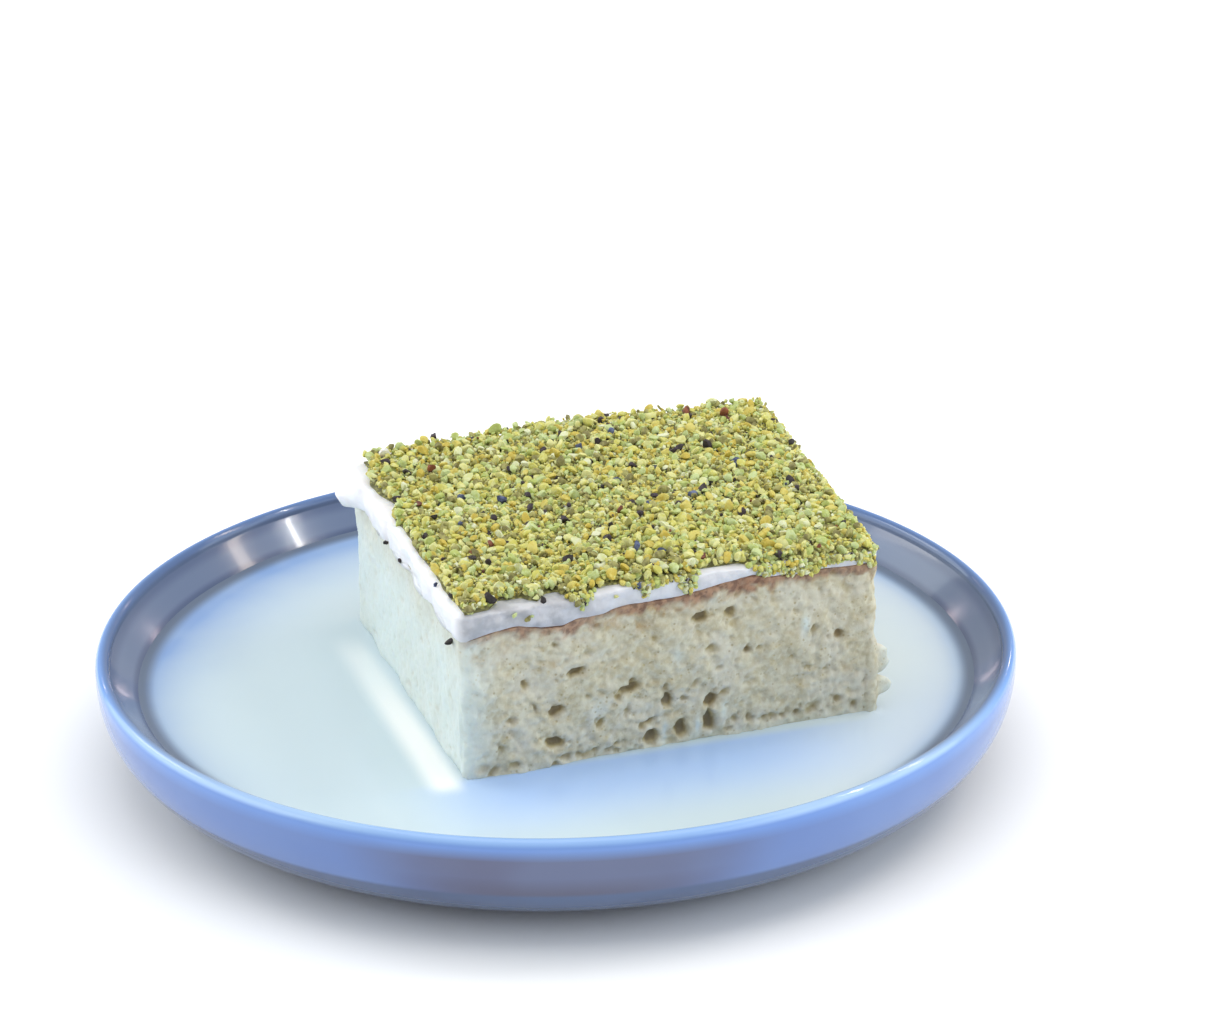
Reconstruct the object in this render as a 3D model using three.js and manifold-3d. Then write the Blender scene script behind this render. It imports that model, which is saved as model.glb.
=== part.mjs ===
// A square of tres leches cake standing in milk in a shallow round glazed dish.
// Units are millimetres, +Z is up, and the origin is the centre of the dish's foot, on the table.
// The soaked sponge carries a layer of whipped cream and a rough coat of crushed pistachio.

import * as THREE from "three";
import { mergeVertices } from "three/addons/utils/BufferGeometryUtils.js";
import Module from "manifold-3d";

const wasm = await Module();
wasm.setup();

// Driving dimensions of the dish
const DISH_RADIUS = 87.5;
const DISH_HEIGHT = 23;
const FOOT_RADIUS = 54;
const FOOT_WIDTH = 5;
const FOOT_RECESS = 1.2;
const RIM_THICKNESS = 2.8;
const RIM_ROUNDING = 1.8;
const FLOOR_TOP = 4.5;
const FLOOR_RADIUS = 65;
const OUTER_CURVE = 0.82;
const INNER_CURVE = 1.9;
const FOOT_EDGE = 0.2;

// Driving dimensions of the milk and the cake
const MILK_LEVEL = 16;
const CAKE_CORNERS = {
  frontLeft: [-41.1, -38.6],
  frontRight: [39.1, -36.9],
  backRight: [44.8, 38],
  backLeft: [-40, 39.2],
};
const CAKE_TURN_DEG = 17;
const CAKE_PLACE = { x: 11, y: -0.7 };
const CORNER_RADIUS = 2;
const CAKE_LEAN = 2;
const RIGHT_BULGE = 0.8;
const SPONGE_TOP = 44.3;
const SPONGE_SWELL = 1.8;
const CREAM_TOP = 48.9;
const CREAM_SWELL = 1.3;
const CREAM_DIP = 0.8;
const CREAM_SHOULDER = 1.5;
const NUT_THICKNESS = 1.7;
const CRUMB_RELIEF = 1.5;
const GAP = 0.3;

// Where the cream droops into a lip on the left side, how wide the lip is, and how far it reaches
const LIP_PLACE = 35;
const LIP_SPREAD = 4.5;
const LIP_REACH = 3.6;

// How finely each shape is divided
const DISH_SEGMENTS = 64;
const OUTER_STEPS = 8;
const INNER_STEPS = 5;
const RIM_STEPS = 5;
const SIDE_STEPS = 14;
const CORNER_STEPS = 3;
const SPONGE_ROWS = 6;
const NUT_STEPS = 26;
const COARSE_ROWS = 8;
const COARSE_COLUMNS = 9;
const SMALL_PORES = 24;

// Shares of the outline at which a layer's top and underside have inner rings
const INNER_SHARES = [0.96, 0.62];

// Numbers from 0 to 1, the same on every run
function draws(seed) {
  let state = seed;
  return () => {
    state = (state * 1664525 + 1013904223) % 4294967296;
    return state / 4294967296;
  };
}

const lerp = THREE.MathUtils.lerp;
const smooth = THREE.MathUtils.smoothstep;

// A slow ripple between about -1 and 1 over a surface
function ripple(a, b) {
  return (
    0.5 * Math.sin(0.31 * a + 0.19 * b + 1.3) +
    0.3 * Math.sin(0.53 * b - 0.41 * a) +
    0.2 * Math.cos(0.97 * a + 0.71 * b)
  );
}

// A closed geometry as a manifold-3d solid
function solidOf(geometry) {
  const bare = new THREE.BufferGeometry();
  bare.setAttribute("position", geometry.getAttribute("position"));
  bare.setIndex(geometry.index);
  const merged = mergeVertices(bare, 1e-4);
  const index = merged.index.array;
  const kept = [];
  for (let i = 0; i < index.length; i += 3) {
    const [a, b, c] = [index[i], index[i + 1], index[i + 2]];
    if (a !== b && b !== c && c !== a) kept.push(a, b, c);
  }
  return new wasm.Manifold(
    new wasm.Mesh({
      numProp: 3,
      vertProperties: new Float32Array(merged.getAttribute("position").array),
      triVerts: new Uint32Array(kept),
    }),
  );
}

// A manifold-3d solid as a three.js geometry
function geometryOf(solid) {
  const mesh = solid.getMesh();
  const geometry = new THREE.BufferGeometry();
  geometry.setAttribute(
    "position",
    new THREE.BufferAttribute(new Float32Array(mesh.vertProperties), 3),
  );
  geometry.setIndex(new THREE.BufferAttribute(new Uint32Array(mesh.triVerts), 1));
  geometry.computeVertexNormals();
  return geometry;
}

// Rings of points from the lowest to the highest, closed by one point at each end.
// Facing layers are split along the same diagonals, so the gap between them stays even.
function loft(bottom, rings, top, crossed = false) {
  const count = rings[0].length;
  const points = [bottom, ...rings.flat(), top];
  const at = (ring, i) => 1 + ring * count + (i % count);
  const last = points.length - 1;
  const index = [];
  for (let i = 0; i < count; i++) {
    index.push(0, at(0, i + 1), at(0, i));
    for (let r = 0; r + 1 < rings.length; r++) {
      const quad = [at(r, i), at(r, i + 1), at(r + 1, i + 1), at(r + 1, i)];
      if (crossed) quad.push(quad.shift());
      index.push(quad[0], quad[1], quad[2], quad[0], quad[2], quad[3]);
    }
    index.push(at(rings.length - 1, i), at(rings.length - 1, i + 1), last);
  }
  const geometry = new THREE.BufferGeometry();
  geometry.setAttribute("position", new THREE.Float32BufferAttribute(points.flat(), 3));
  geometry.setIndex(index);
  return geometry;
}

const LIP_HEIGHT = DISH_HEIGHT - RIM_ROUNDING;
const INNER_RADIUS = DISH_RADIUS - RIM_THICKNESS;

// A rounded wall from its foot up to the lip, as points of radius and height
function wallCurve(foot, lipRadius, power, steps) {
  const points = [];
  for (let i = 0; i <= steps; i++) {
    const angle = (Math.PI / 2) * (1 - i / steps);
    const out = Math.max(Math.cos(angle), 0) ** power;
    const down = Math.sin(angle) ** power;
    points.push(
      new THREE.Vector2(lerp(foot.radius, lipRadius, out), lerp(LIP_HEIGHT, foot.height, down)),
    );
  }
  return points;
}

const innerWall = wallCurve(
  { radius: FLOOR_RADIUS, height: FLOOR_TOP },
  INNER_RADIUS,
  INNER_CURVE,
  INNER_STEPS,
);

// Turns a profile of radius and height round the Z axis
function turned(profile) {
  return new THREE.LatheGeometry(profile, DISH_SEGMENTS).rotateX(Math.PI / 2);
}

function dishGeometry() {
  const foot = [
    new THREE.Vector2(0, FOOT_RECESS),
    new THREE.Vector2(FOOT_RADIUS - FOOT_WIDTH - FOOT_RECESS, FOOT_RECESS),
    new THREE.Vector2(FOOT_RADIUS - FOOT_WIDTH, 0),
    new THREE.Vector2(FOOT_RADIUS - FOOT_EDGE, 0),
  ];
  const base = { radius: FOOT_RADIUS, height: FOOT_EDGE };
  const outer = wallCurve(base, DISH_RADIUS, OUTER_CURVE, OUTER_STEPS);
  const rim = [];
  for (let i = 1; i < RIM_STEPS; i++) {
    const angle = (Math.PI * i) / RIM_STEPS;
    rim.push(
      new THREE.Vector2(
        DISH_RADIUS - (RIM_THICKNESS / 2) * (1 - Math.cos(angle)),
        LIP_HEIGHT + RIM_ROUNDING * Math.sin(angle),
      ),
    );
  }
  const inner = innerWall.slice().reverse();
  return turned([...foot, ...outer, ...rim, ...inner, new THREE.Vector2(0, FLOOR_TOP)]);
}

// The cake's outline in its own frame: front edge first, anticlockwise from above.
// Each point carries its outward direction and how far along the outline it lies.
function cakeOutline() {
  const corners = Object.values(CAKE_CORNERS).map(([x, y]) => new THREE.Vector2(x, y));
  const sides = corners.map((from, i) => {
    const along = corners[(i + 1) % 4].clone().sub(from).normalize();
    return { along, out: new THREE.Vector2(along.y, -along.x) };
  });
  const points = [];
  corners.forEach((corner, i) => {
    const [before, after] = [sides[(i + 3) % 4], sides[i]];
    const half = before.out.angleTo(after.out) / 2;
    const inward = before.out.clone().add(after.out).setLength(CORNER_RADIUS / Math.cos(half));
    const centre = corner.clone().sub(inward);
    for (let k = 0; k <= CORNER_STEPS; k++) {
      const out = before.out.clone().lerp(after.out, k / CORNER_STEPS).normalize();
      points.push({ at: centre.clone().addScaledVector(out, CORNER_RADIUS), out });
    }
    const next = corners[(i + 1) % 4];
    const length = next.distanceTo(corner);
    for (let k = 1; k < SIDE_STEPS; k++) {
      const share = CORNER_RADIUS / length + (k / SIDE_STEPS) * (1 - (2 * CORNER_RADIUS) / length);
      points.push({ at: corner.clone().lerp(next, share), out: after.out.clone() });
    }
  });
  let travelled = 0;
  points.forEach((point, i) => {
    if (i) travelled += point.at.distanceTo(points[i - 1].at);
    point.along = travelled;
  });
  return points;
}

const outline = cakeOutline();

// Heights of the layers over the cake: the cream is thick at the left and thin at the right
function spongeTop(x, y) {
  return SPONGE_TOP + SPONGE_SWELL * smooth(x, -18, 6) + 0.25 * ripple(x, y);
}

function creamTop(x, y) {
  const swell = CREAM_SWELL * smooth(x, -34, 0);
  const dip = CREAM_DIP * smooth(x, 8, 40);
  return CREAM_TOP + swell - dip + 0.2 * ripple(y, x);
}

// How far the cream hangs over the side and stands out at a point of the outline, and its lip there
function creamEdge({ at, out }) {
  const left = Math.max(-out.x, 0) ** 2;
  const wave = 0.5 + 0.5 * Math.sin(0.42 * at.y + 0.8);
  const lip = left * Math.exp(-(((at.y - LIP_PLACE) / LIP_SPREAD) ** 2));
  return {
    hang: left * (0.6 + 0.7 * wave) + 1.4 * lip,
    bulge: 0.25 + left * (0.5 + 0.4 * wave),
    lip: LIP_REACH * lip,
  };
}

// A ring of the outline moved outwards by grow(point) and shrunk about the cake's middle
function ring(grow, height, share = 1) {
  return outline.map((point, i) => {
    const x = (point.at.x + point.out.x * grow(point, i)) * share;
    const y = (point.at.y + point.out.y * grow(point, i)) * share;
    return [x, y, height(x, y, point)];
  });
}

// Sponge: a leaning block with a rough cut side, an open crumb and a torn flake
const SPONGE_FOOT = FLOOR_TOP + GAP;
const PORE_DEPTH = 1.5;
const SMALL_PORE_DEPTH = 1.2;
const crumbDraw = draws(11);

// Large openings of the crumb on the front cut: distance from the left corner, height, and half sizes
const FRONT_PORES = [
  { along: 18, height: 21.7, wide: 2.4, tall: 1.4 },
  { along: 32, height: 28.7, wide: 2.2, tall: 1.4 },
  { along: 38.5, height: 25.5, wide: 1.3, tall: 1.9 },
  { along: 35, height: 19.8, wide: 2.0, tall: 1.3 },
  { along: 47, height: 22.2, wide: 1.5, tall: 2.8 },
  { along: 41.5, height: 18.6, wide: 2.0, tall: 1.6 },
  { along: 72, height: 32.0, wide: 1.4, tall: 1.2 },
  { along: 66.5, height: 34.2, wide: 0.9, tall: 1.3 },
  { along: 50.5, height: 38.9, wide: 1.0, tall: 1.0 },
  { along: 45, height: 39.2, wide: 1.7, tall: 1.1 },
  { along: 22, height: 33.4, wide: 1.8, tall: 1.1 },
  { along: 11.7, height: 32.5, wide: 1.0, tall: 1.4 },
];

function pebble(radii, detail, draw) {
  const turn = new THREE.Euler(draw() * 6, draw() * 6, draw() * 6);
  return new THREE.IcosahedronGeometry(1, detail)
    .applyMatrix4(new THREE.Matrix4().makeRotationFromEuler(turn))
    .scale(...radii);
}

// How far the side leans in at the floor of the dish: it stands upright at the left, and the right
// side swells outwards instead
function leanAt({ at, out }) {
  return lerp(CAKE_LEAN, -RIGHT_BULGE, Math.max(out.x, 0) ** 2) * smooth(at.x, -32, -6);
}

// A hollow whose middle lies on the cut side at a point of the outline
function pore(point, height, wide, tall, deep) {
  const turn = Math.atan2(point.out.y, point.out.x);
  const inset = leanAt(point) * (1 - smooth(height, MILK_LEVEL, SPONGE_TOP));
  const shape = pebble([deep, wide, tall], 0, crumbDraw).rotateZ(turn);
  const middle = point.at.clone().addScaledVector(point.out, -inset);
  return solidOf(shape.translate(middle.x, middle.y, height));
}

function outlineAt(along) {
  return outline.reduce((best, point) =>
    Math.abs(point.along - along) < Math.abs(best.along - along) ? point : best,
  );
}

function spongeSolid() {
  const rough = draws(5);
  const roughness = outline.map(() => Array.from({ length: SPONGE_ROWS + 1 }, rough));
  const rings = [];
  for (const share of INNER_SHARES.slice().reverse()) {
    rings.push(ring((point) => -leanAt(point), () => SPONGE_FOOT, share));
  }
  for (let row = 0; row <= SPONGE_ROWS; row++) {
    const rise = row / SPONGE_ROWS;
    const edge = row === 0 || row === SPONGE_ROWS ? 0.3 : 1;
    const grow = (point, i) =>
      -leanAt(point) * (1 - rise) +
      edge * (0.35 * ripple(point.along, rise * 40) + 0.5 * (roughness[i][row] - 0.6));
    rings.push(ring(grow, (x, y) => lerp(SPONGE_FOOT, spongeTop(x, y), rise)));
  }
  for (const share of INNER_SHARES) {
    rings.push(ring(() => 0, spongeTop, share));
  }
  const block = solidOf(loft([0, 0, SPONGE_FOOT], rings, [0, 0, spongeTop(0, 0)]));
  const pores = FRONT_PORES.map(({ along, height, wide, tall }) =>
    pore(outlineAt(along), height, wide, tall, PORE_DEPTH),
  );
  const girth = outline[outline.length - 1].along;
  for (let i = 0; i < SMALL_PORES; i++) {
    const point = outlineAt(crumbDraw() * girth);
    const size = 0.8 + 1.1 * crumbDraw() ** 2;
    const height = lerp(MILK_LEVEL + 1, SPONGE_TOP - 3, crumbDraw());
    pores.push(pore(point, height, size * 1.2, size * 0.9, SMALL_PORE_DEPTH));
  }
  const flakeRoot = outline[SIDE_STEPS + CORNER_STEPS + 3];
  const flake = pebble([3.6, 1.8, 5.4], 1, crumbDraw);
  flake.translate(flakeRoot.at.x + 0.3, flakeRoot.at.y + 1.4, MILK_LEVEL + 7.4);
  return block.subtract(wasm.Manifold.union(pores)).add(solidOf(flake));
}

// Whipped cream: a slab with a rounded shoulder that sags over the left side
function creamSolid() {
  const under = (x, y) => spongeTop(x, y) + GAP;
  const hangs = (point) => Math.min(creamEdge(point).hang, 1);
  const lowAt = (point) => spongeTop(point.at.x, point.at.y) - creamEdge(point).hang;
  const highAt = (point) => creamTop(point.at.x, point.at.y);
  const between = (share) => (x, y, point) => lerp(lowAt(point), highAt(point), share);
  const rings = [
    ...INNER_SHARES.slice().reverse().map((share) => ring(() => 0, under, share)),
    ring((p) => lerp(0.05, 1.0, hangs(p)), (x, y, p) => under(p.at.x, p.at.y)),
    ring((p) => lerp(0.1, 1.15, hangs(p)), (x, y, p) => lowAt(p) + GAP),
    ring((p) => creamEdge(p).bulge + 0.4 * hangs(p) + 0.9 * creamEdge(p).lip, between(0.25)),
    ring((p) => creamEdge(p).bulge + 0.4 * hangs(p) + 0.75 * creamEdge(p).lip, between(0.55)),
    ring((p) => creamEdge(p).bulge * 0.6 - 0.2 + 0.2 * creamEdge(p).lip, between(0.85)),
    ring(() => -CREAM_SHOULDER, creamTop),
    ring(() => -CREAM_SHOULDER, creamTop, INNER_SHARES[1]),
  ];
  return solidOf(loft([0, 0, under(0, 0)], rings, [0, 0, creamTop(0, 0)], true));
}

// Crushed pistachio: a slab whose top is broken into crumbs, with coarser pieces fused on.
// A place on the cake is given by shares across and back, inside the coat's uneven edge.
function nutPlace(across, back) {
  const { frontLeft, frontRight, backRight, backLeft } = CAKE_CORNERS;
  const wander = 0.6 * ripple(across * 90 + back * 37, back * 80 - across * 31);
  const leftBare = 1.2 + 0.6 * wander;
  const rightBare = 1.4 - 0.4 * wander;
  const endBare = 0.6 + 0.4 * wander;
  const near = lerp(frontLeft[1], frontRight[1], across) + endBare;
  const far = lerp(backLeft[1], backRight[1], across) - endBare;
  const left = lerp(frontLeft[0], backLeft[0], back) + leftBare;
  const right = lerp(frontRight[0], backRight[0], back) - rightBare;
  return [lerp(left, right, across), lerp(near, far, back)];
}

function nutSlab() {
  const draw = draws(23);
  const row = NUT_STEPS + 1;
  const points = [];
  const index = [];
  for (let j = 0; j < row; j++) {
    for (let i = 0; i < row; i++) {
      const inside = i > 0 && j > 0 && i < NUT_STEPS && j < NUT_STEPS;
      const shift = inside ? 0.5 / NUT_STEPS : 0;
      const [x, y] = nutPlace(
        i / NUT_STEPS + shift * (draw() - 0.5),
        j / NUT_STEPS + shift * (draw() - 0.5),
      );
      const relief = CRUMB_RELIEF * (draw() - 0.5) - (inside ? 0 : 0.6);
      points.push([x, y, creamTop(x, y) + NUT_THICKNESS + relief]);
    }
  }
  for (let j = 0; j < NUT_STEPS; j++) {
    for (let i = 0; i < NUT_STEPS; i++) {
      const at = j * row + i;
      index.push(at, at + 1, at + row + 1, at, at + row + 1, at + row);
    }
  }
  const edge = [];
  for (let i = 0; i < NUT_STEPS; i++) edge.push(i);
  for (let j = 0; j < NUT_STEPS; j++) edge.push(j * row + NUT_STEPS);
  for (let i = NUT_STEPS; i > 0; i--) edge.push(NUT_STEPS * row + i);
  for (let j = NUT_STEPS; j > 0; j--) edge.push(j * row);
  const low = points.length;
  const sunk = (x, y) => [x, y, creamTop(x, y) - 0.5];
  edge.forEach((at) => points.push(sunk(points[at][0], points[at][1])));
  const middle = points.length;
  points.push(sunk(0, 0));
  edge.forEach((at, k) => {
    const next = (k + 1) % edge.length;
    index.push(edge[k], low + k, low + next, edge[k], low + next, edge[next]);
    index.push(middle, low + next, low + k);
  });
  const geometry = new THREE.BufferGeometry();
  geometry.setAttribute("position", new THREE.Float32BufferAttribute(points.flat(), 3));
  geometry.setIndex(index);
  return solidOf(geometry);
}

function coarsePieces() {
  const draw = draws(41);
  const pieces = [];
  for (let row = 0; row < COARSE_ROWS; row++) {
    for (let column = 0; column < COARSE_COLUMNS; column++) {
      const [x, y] = nutPlace(
        (column + 0.15 + 0.7 * draw()) / COARSE_COLUMNS,
        (row + 0.15 + 0.7 * draw()) / COARSE_ROWS,
      );
      const size = 1.0 + 0.7 * draw();
      const piece = pebble([size * (0.9 + 0.6 * draw()), size, size * 0.75], 0, draw);
      pieces.push(solidOf(piece.translate(x, y, creamTop(x, y) + NUT_THICKNESS + 0.1)));
    }
  }
  return wasm.Manifold.union(pieces);
}

// Stray crumbs stuck to the cream's cut edge: distance along the outline, and share of its height
const STRAY_CRUMBS = [
  { along: 5, share: 0.55 },
  { along: 12, share: 0.5 },
  { along: 15.5, share: 0.75 },
  { along: 26, share: 0.7 },
  { along: 44, share: 0.35 },
  { along: 60, share: 0.3 },
  { along: 277, share: 0.4 },
  { along: 290, share: 0.7 },
];

function strayCrumbs() {
  const draw = draws(67);
  const crumbs = STRAY_CRUMBS.map(({ along, share }) => {
    const point = outlineAt(along);
    const size = 0.75 + 0.3 * draw();
    const middle = point.at.clone().addScaledVector(point.out, creamEdge(point).bulge + 0.2);
    const low = spongeTop(point.at.x, point.at.y);
    const height = lerp(low + 0.6, creamTop(point.at.x, point.at.y), share);
    return solidOf(pebble([size, size, size], 0, draw).translate(middle.x, middle.y, height));
  });
  return wasm.Manifold.union(crumbs);
}

// How far the hole in the milk stands off the sponge's foot, so that the rough side clears it
const HOLE_EASE = 1.5;

// Milk: fills the dish up to its level, with a hole where the cake stands
function milkSolid() {
  const wet = innerWall.filter((point) => point.y < MILK_LEVEL - 1);
  const shore = innerWall.find((point) => point.y > MILK_LEVEL);
  const below = wet[wet.length - 1];
  const reach = (MILK_LEVEL - below.y) / (shore.y - below.y);
  const profile = [
    new THREE.Vector2(0, FLOOR_TOP + GAP),
    ...wet.map((point) => new THREE.Vector2(point.x - GAP * 1.5, point.y + GAP)),
    new THREE.Vector2(lerp(below.x, shore.x, reach) - GAP * 1.5, MILK_LEVEL),
    new THREE.Vector2(0, MILK_LEVEL),
  ];
  const pool = solidOf(turned(profile));
  const hole = new THREE.Shape(
    ring((point) => HOLE_EASE - leanAt(point), () => 0).map(([x, y]) => new THREE.Vector2(x, y)),
  );
  const shaft = new THREE.ExtrudeGeometry(hole, { depth: MILK_LEVEL * 2, bevelEnabled: false });
  shaft.rotateZ(THREE.MathUtils.degToRad(CAKE_TURN_DEG));
  shaft.translate(CAKE_PLACE.x, CAKE_PLACE.y, 0);
  return pool.subtract(solidOf(shaft));
}

// Materials, one for each layer
function finish(colour, roughness) {
  return new THREE.MeshStandardMaterial({ color: colour, roughness, metalness: 0 });
}

const glaze = finish("#8fa3cf", 0.25);
const milkWhite = finish("#e3edf0", 0.2);
const crumb = finish("#d9d3b4", 0.85);
const creamWhite = finish("#f3f2ee", 0.5);
const pistachio = finish("#a9a53c", 0.8);

function named(name, geometry, material) {
  const mesh = new THREE.Mesh(geometry, material);
  mesh.name = name;
  return mesh;
}

// Assembly
const cream = creamSolid();
const nuts = nutSlab().subtract(cream.translate([0, 0, GAP])).add(coarsePieces());
const clearOfNuts = nuts.translate([0, 0, -GAP]);

const cake = new THREE.Group();
cake.position.set(CAKE_PLACE.x, CAKE_PLACE.y, 0);
cake.rotation.z = THREE.MathUtils.degToRad(CAKE_TURN_DEG);
cake.add(named("sponge", geometryOf(spongeSolid()), crumb));
cake.add(
  named("whipped_cream", geometryOf(cream.add(strayCrumbs()).subtract(clearOfNuts)), creamWhite),
);
cake.add(named("pistachio_coat", geometryOf(nuts), pistachio));

const dessert = new THREE.Group();
dessert.add(named("dish", dishGeometry(), glaze));
dessert.add(named("milk", geometryOf(milkSolid()), milkWhite));
dessert.add(cake);

export default dessert;
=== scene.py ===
"""A square of tres leches cake standing in milk in a shallow round glazed dish.

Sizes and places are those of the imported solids. Shapes are worked out in millimetres, and
new_piece() turns them into metres, the unit of the scene.
"""

import math

import bmesh
import bpy
import numpy as np
from bpy.props import FloatProperty, FloatVectorProperty, IntProperty, PointerProperty
from mathutils import Matrix, Vector


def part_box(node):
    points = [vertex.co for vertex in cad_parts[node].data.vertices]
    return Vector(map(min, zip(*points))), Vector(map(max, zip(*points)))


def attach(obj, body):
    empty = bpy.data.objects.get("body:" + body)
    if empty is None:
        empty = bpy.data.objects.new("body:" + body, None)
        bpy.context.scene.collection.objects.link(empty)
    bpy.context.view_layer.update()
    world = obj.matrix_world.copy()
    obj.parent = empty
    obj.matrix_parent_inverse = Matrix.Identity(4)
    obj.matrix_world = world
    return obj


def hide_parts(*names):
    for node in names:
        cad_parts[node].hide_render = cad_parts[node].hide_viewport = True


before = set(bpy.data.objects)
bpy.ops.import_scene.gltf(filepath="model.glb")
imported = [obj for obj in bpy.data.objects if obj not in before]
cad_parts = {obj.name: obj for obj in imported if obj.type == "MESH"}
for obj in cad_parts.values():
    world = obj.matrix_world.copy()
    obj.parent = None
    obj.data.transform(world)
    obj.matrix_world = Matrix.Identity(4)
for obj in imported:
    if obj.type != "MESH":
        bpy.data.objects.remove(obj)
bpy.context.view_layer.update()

bl_info = {
    "name": "Tres Leches Cake",
    "version": (1, 0, 0),
    "blender": (4, 5, 0),
    "location": "View3D > Sidebar > Dessert",
    "description": "Builds a soaked square of milk cake with cream and pistachio in its dish",
    "category": "Object",
}

MM = 0.001
BODY = "root"


def box_mm(node):
    """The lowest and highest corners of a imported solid, in millimetres."""
    low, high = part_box(node)
    return np.array(low) / MM, np.array(high) / MM


# The dish, as its solid is, and the curves of its wall
DISH_RADIUS = box_mm("dish")[1][0]
RIM_TOP = 23.0
RIM_THICKNESS = 2.8
RIM_ROUNDING = 1.8
FOOT_RADIUS = 54.0
FOOT_WIDTH = 5.0
FOOT_RECESS = 1.2
FOOT_EDGE = 0.2
FLOOR_TOP = 4.5
FLOOR_RADIUS = 65.0
OUTER_CURVE = 0.82
INNER_CURVE = 1.9
LIP_HEIGHT = RIM_TOP - RIM_ROUNDING
INNER_RADIUS = DISH_RADIUS - RIM_THICKNESS
GLAZE_OVERLAP = 0.25

# The milk and the cake
MILK_LEVEL = box_mm("milk")[1][2]
SPONGE_FOOT = box_mm("sponge")[0][2]
CAKE_CORNERS = ((-41.1, -38.6), (39.1, -36.9), (44.8, 38.0), (-40.0, 39.2))
CAKE_TURN = math.radians(17)
CAKE_PLACE = (11.0, -0.7)
CORNER_RADIUS = 2.0
CORNER_SHIFT = CORNER_RADIUS * (math.pi / 2 - 1)
CAKE_LEAN = 2.0
RIGHT_BULGE = 0.8
SPONGE_TOP = 44.3
SPONGE_SWELL = 1.8
CREAM_TOP = 48.9
CREAM_SWELL = 1.3
CREAM_DIP = 0.8
CREAM_SHOULDER = 1.5
LIP_PLACE = 35.0
LIP_SPREAD = 4.5
LIP_REACH = 3.6
NUT_THICKNESS = 1.7
NUT_HEAP = 1.0

# How finely surfaces are divided
DISH_SEGMENTS = 192
WALL_STEPS = 40
RIM_STEPS = 16
FOOT_STEPS = 5
MILK_RINGS = 60
MILK_SPACING = 1.2
CRUMB_SPACING = 0.38
CREAM_SPACING = 0.6
CREAM_STEPS = 12
SPILL_SPACING = 0.9
BED_STEPS = 150


# Numbers, noise and curves

def lerp(low, high, share):
    return low + (high - low) * share


def smooth(value, low, high):
    """0 below low, 1 above high and a soft step between."""
    share = np.clip((value - low) / (high - low), 0, 1)
    return share * share * (3 - 2 * share)


def hill(value, place, spread):
    return np.exp(-(((value - place) / spread) ** 2))


def between(value, start, risen, falling, end):
    """1 from risen to falling, 0 before start and past end, and soft steps between."""
    return smooth(value, start, risen) * (1 - smooth(value, falling, end))


def follow(table, value):
    """What a table of places and values gives at a place."""
    return np.interp(value, *np.transpose(table))


def ripple(a, b):
    """The slow ripple that the solids have, between about -1 and 1."""
    return (
        0.5 * np.sin(0.31 * a + 0.19 * b + 1.3)
        + 0.3 * np.sin(0.53 * b - 0.41 * a)
        + 0.2 * np.cos(0.97 * a + 0.71 * b)
    )


NOISE_SIZE = 64


def noise(points, cell, seed):
    """Smooth random values between -1 and 1, with lumps about one cell across."""
    grid = np.random.default_rng(seed).random((NOISE_SIZE,) * 3) * 2 - 1
    scaled = np.asarray(points, float) / cell
    base = np.floor(scaled).astype(int)
    share = scaled - base
    share = share * share * (3 - 2 * share)
    total = np.zeros(scaled.shape[:-1])
    for corner in np.ndindex(2, 2, 2):
        weight = np.prod(np.where(corner, share, 1 - share), axis=-1)
        x, y, z = np.moveaxis((base + corner) % NOISE_SIZE, -1, 0)
        total += weight * grid[x, y, z]
    return total


def rough(points, seed, *layers):
    """The sum of layers of noise, each given by its height and its cell."""
    return sum(height * noise(points, cell, seed + i) for i, (height, cell) in enumerate(layers))


def wall_curve(foot, lip_radius, power, steps):
    """A rounded wall from its foot up to the lip, as rows of radius and height."""
    angle = np.linspace(math.pi / 2, 0, steps + 1)
    out = np.clip(np.cos(angle), 0, None) ** power
    down = np.sin(angle) ** power
    return np.column_stack((lerp(foot[0], lip_radius, out), lerp(LIP_HEIGHT, foot[1], down)))


def inner_wall(steps):
    return wall_curve((FLOOR_RADIUS, FLOOR_TOP), INNER_RADIUS, INNER_CURVE, steps)


def in_dish(points):
    """Moves points from the cake's own frame to their place in the dish."""
    turned = np.array(points, float)
    x, y = turned[..., 0].copy(), turned[..., 1].copy()
    turned[..., 0] = x * math.cos(CAKE_TURN) - y * math.sin(CAKE_TURN) + CAKE_PLACE[0]
    turned[..., 1] = x * math.sin(CAKE_TURN) + y * math.cos(CAKE_TURN) + CAKE_PLACE[1]
    return turned


def on_cake(points):
    """Turns places in the dish into x and y of the cake's own frame."""
    x, y = points[..., 0] - CAKE_PLACE[0], points[..., 1] - CAKE_PLACE[1]
    cos, sin = math.cos(CAKE_TURN), math.sin(CAKE_TURN)
    return x * cos + y * sin, y * cos - x * sin


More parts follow.
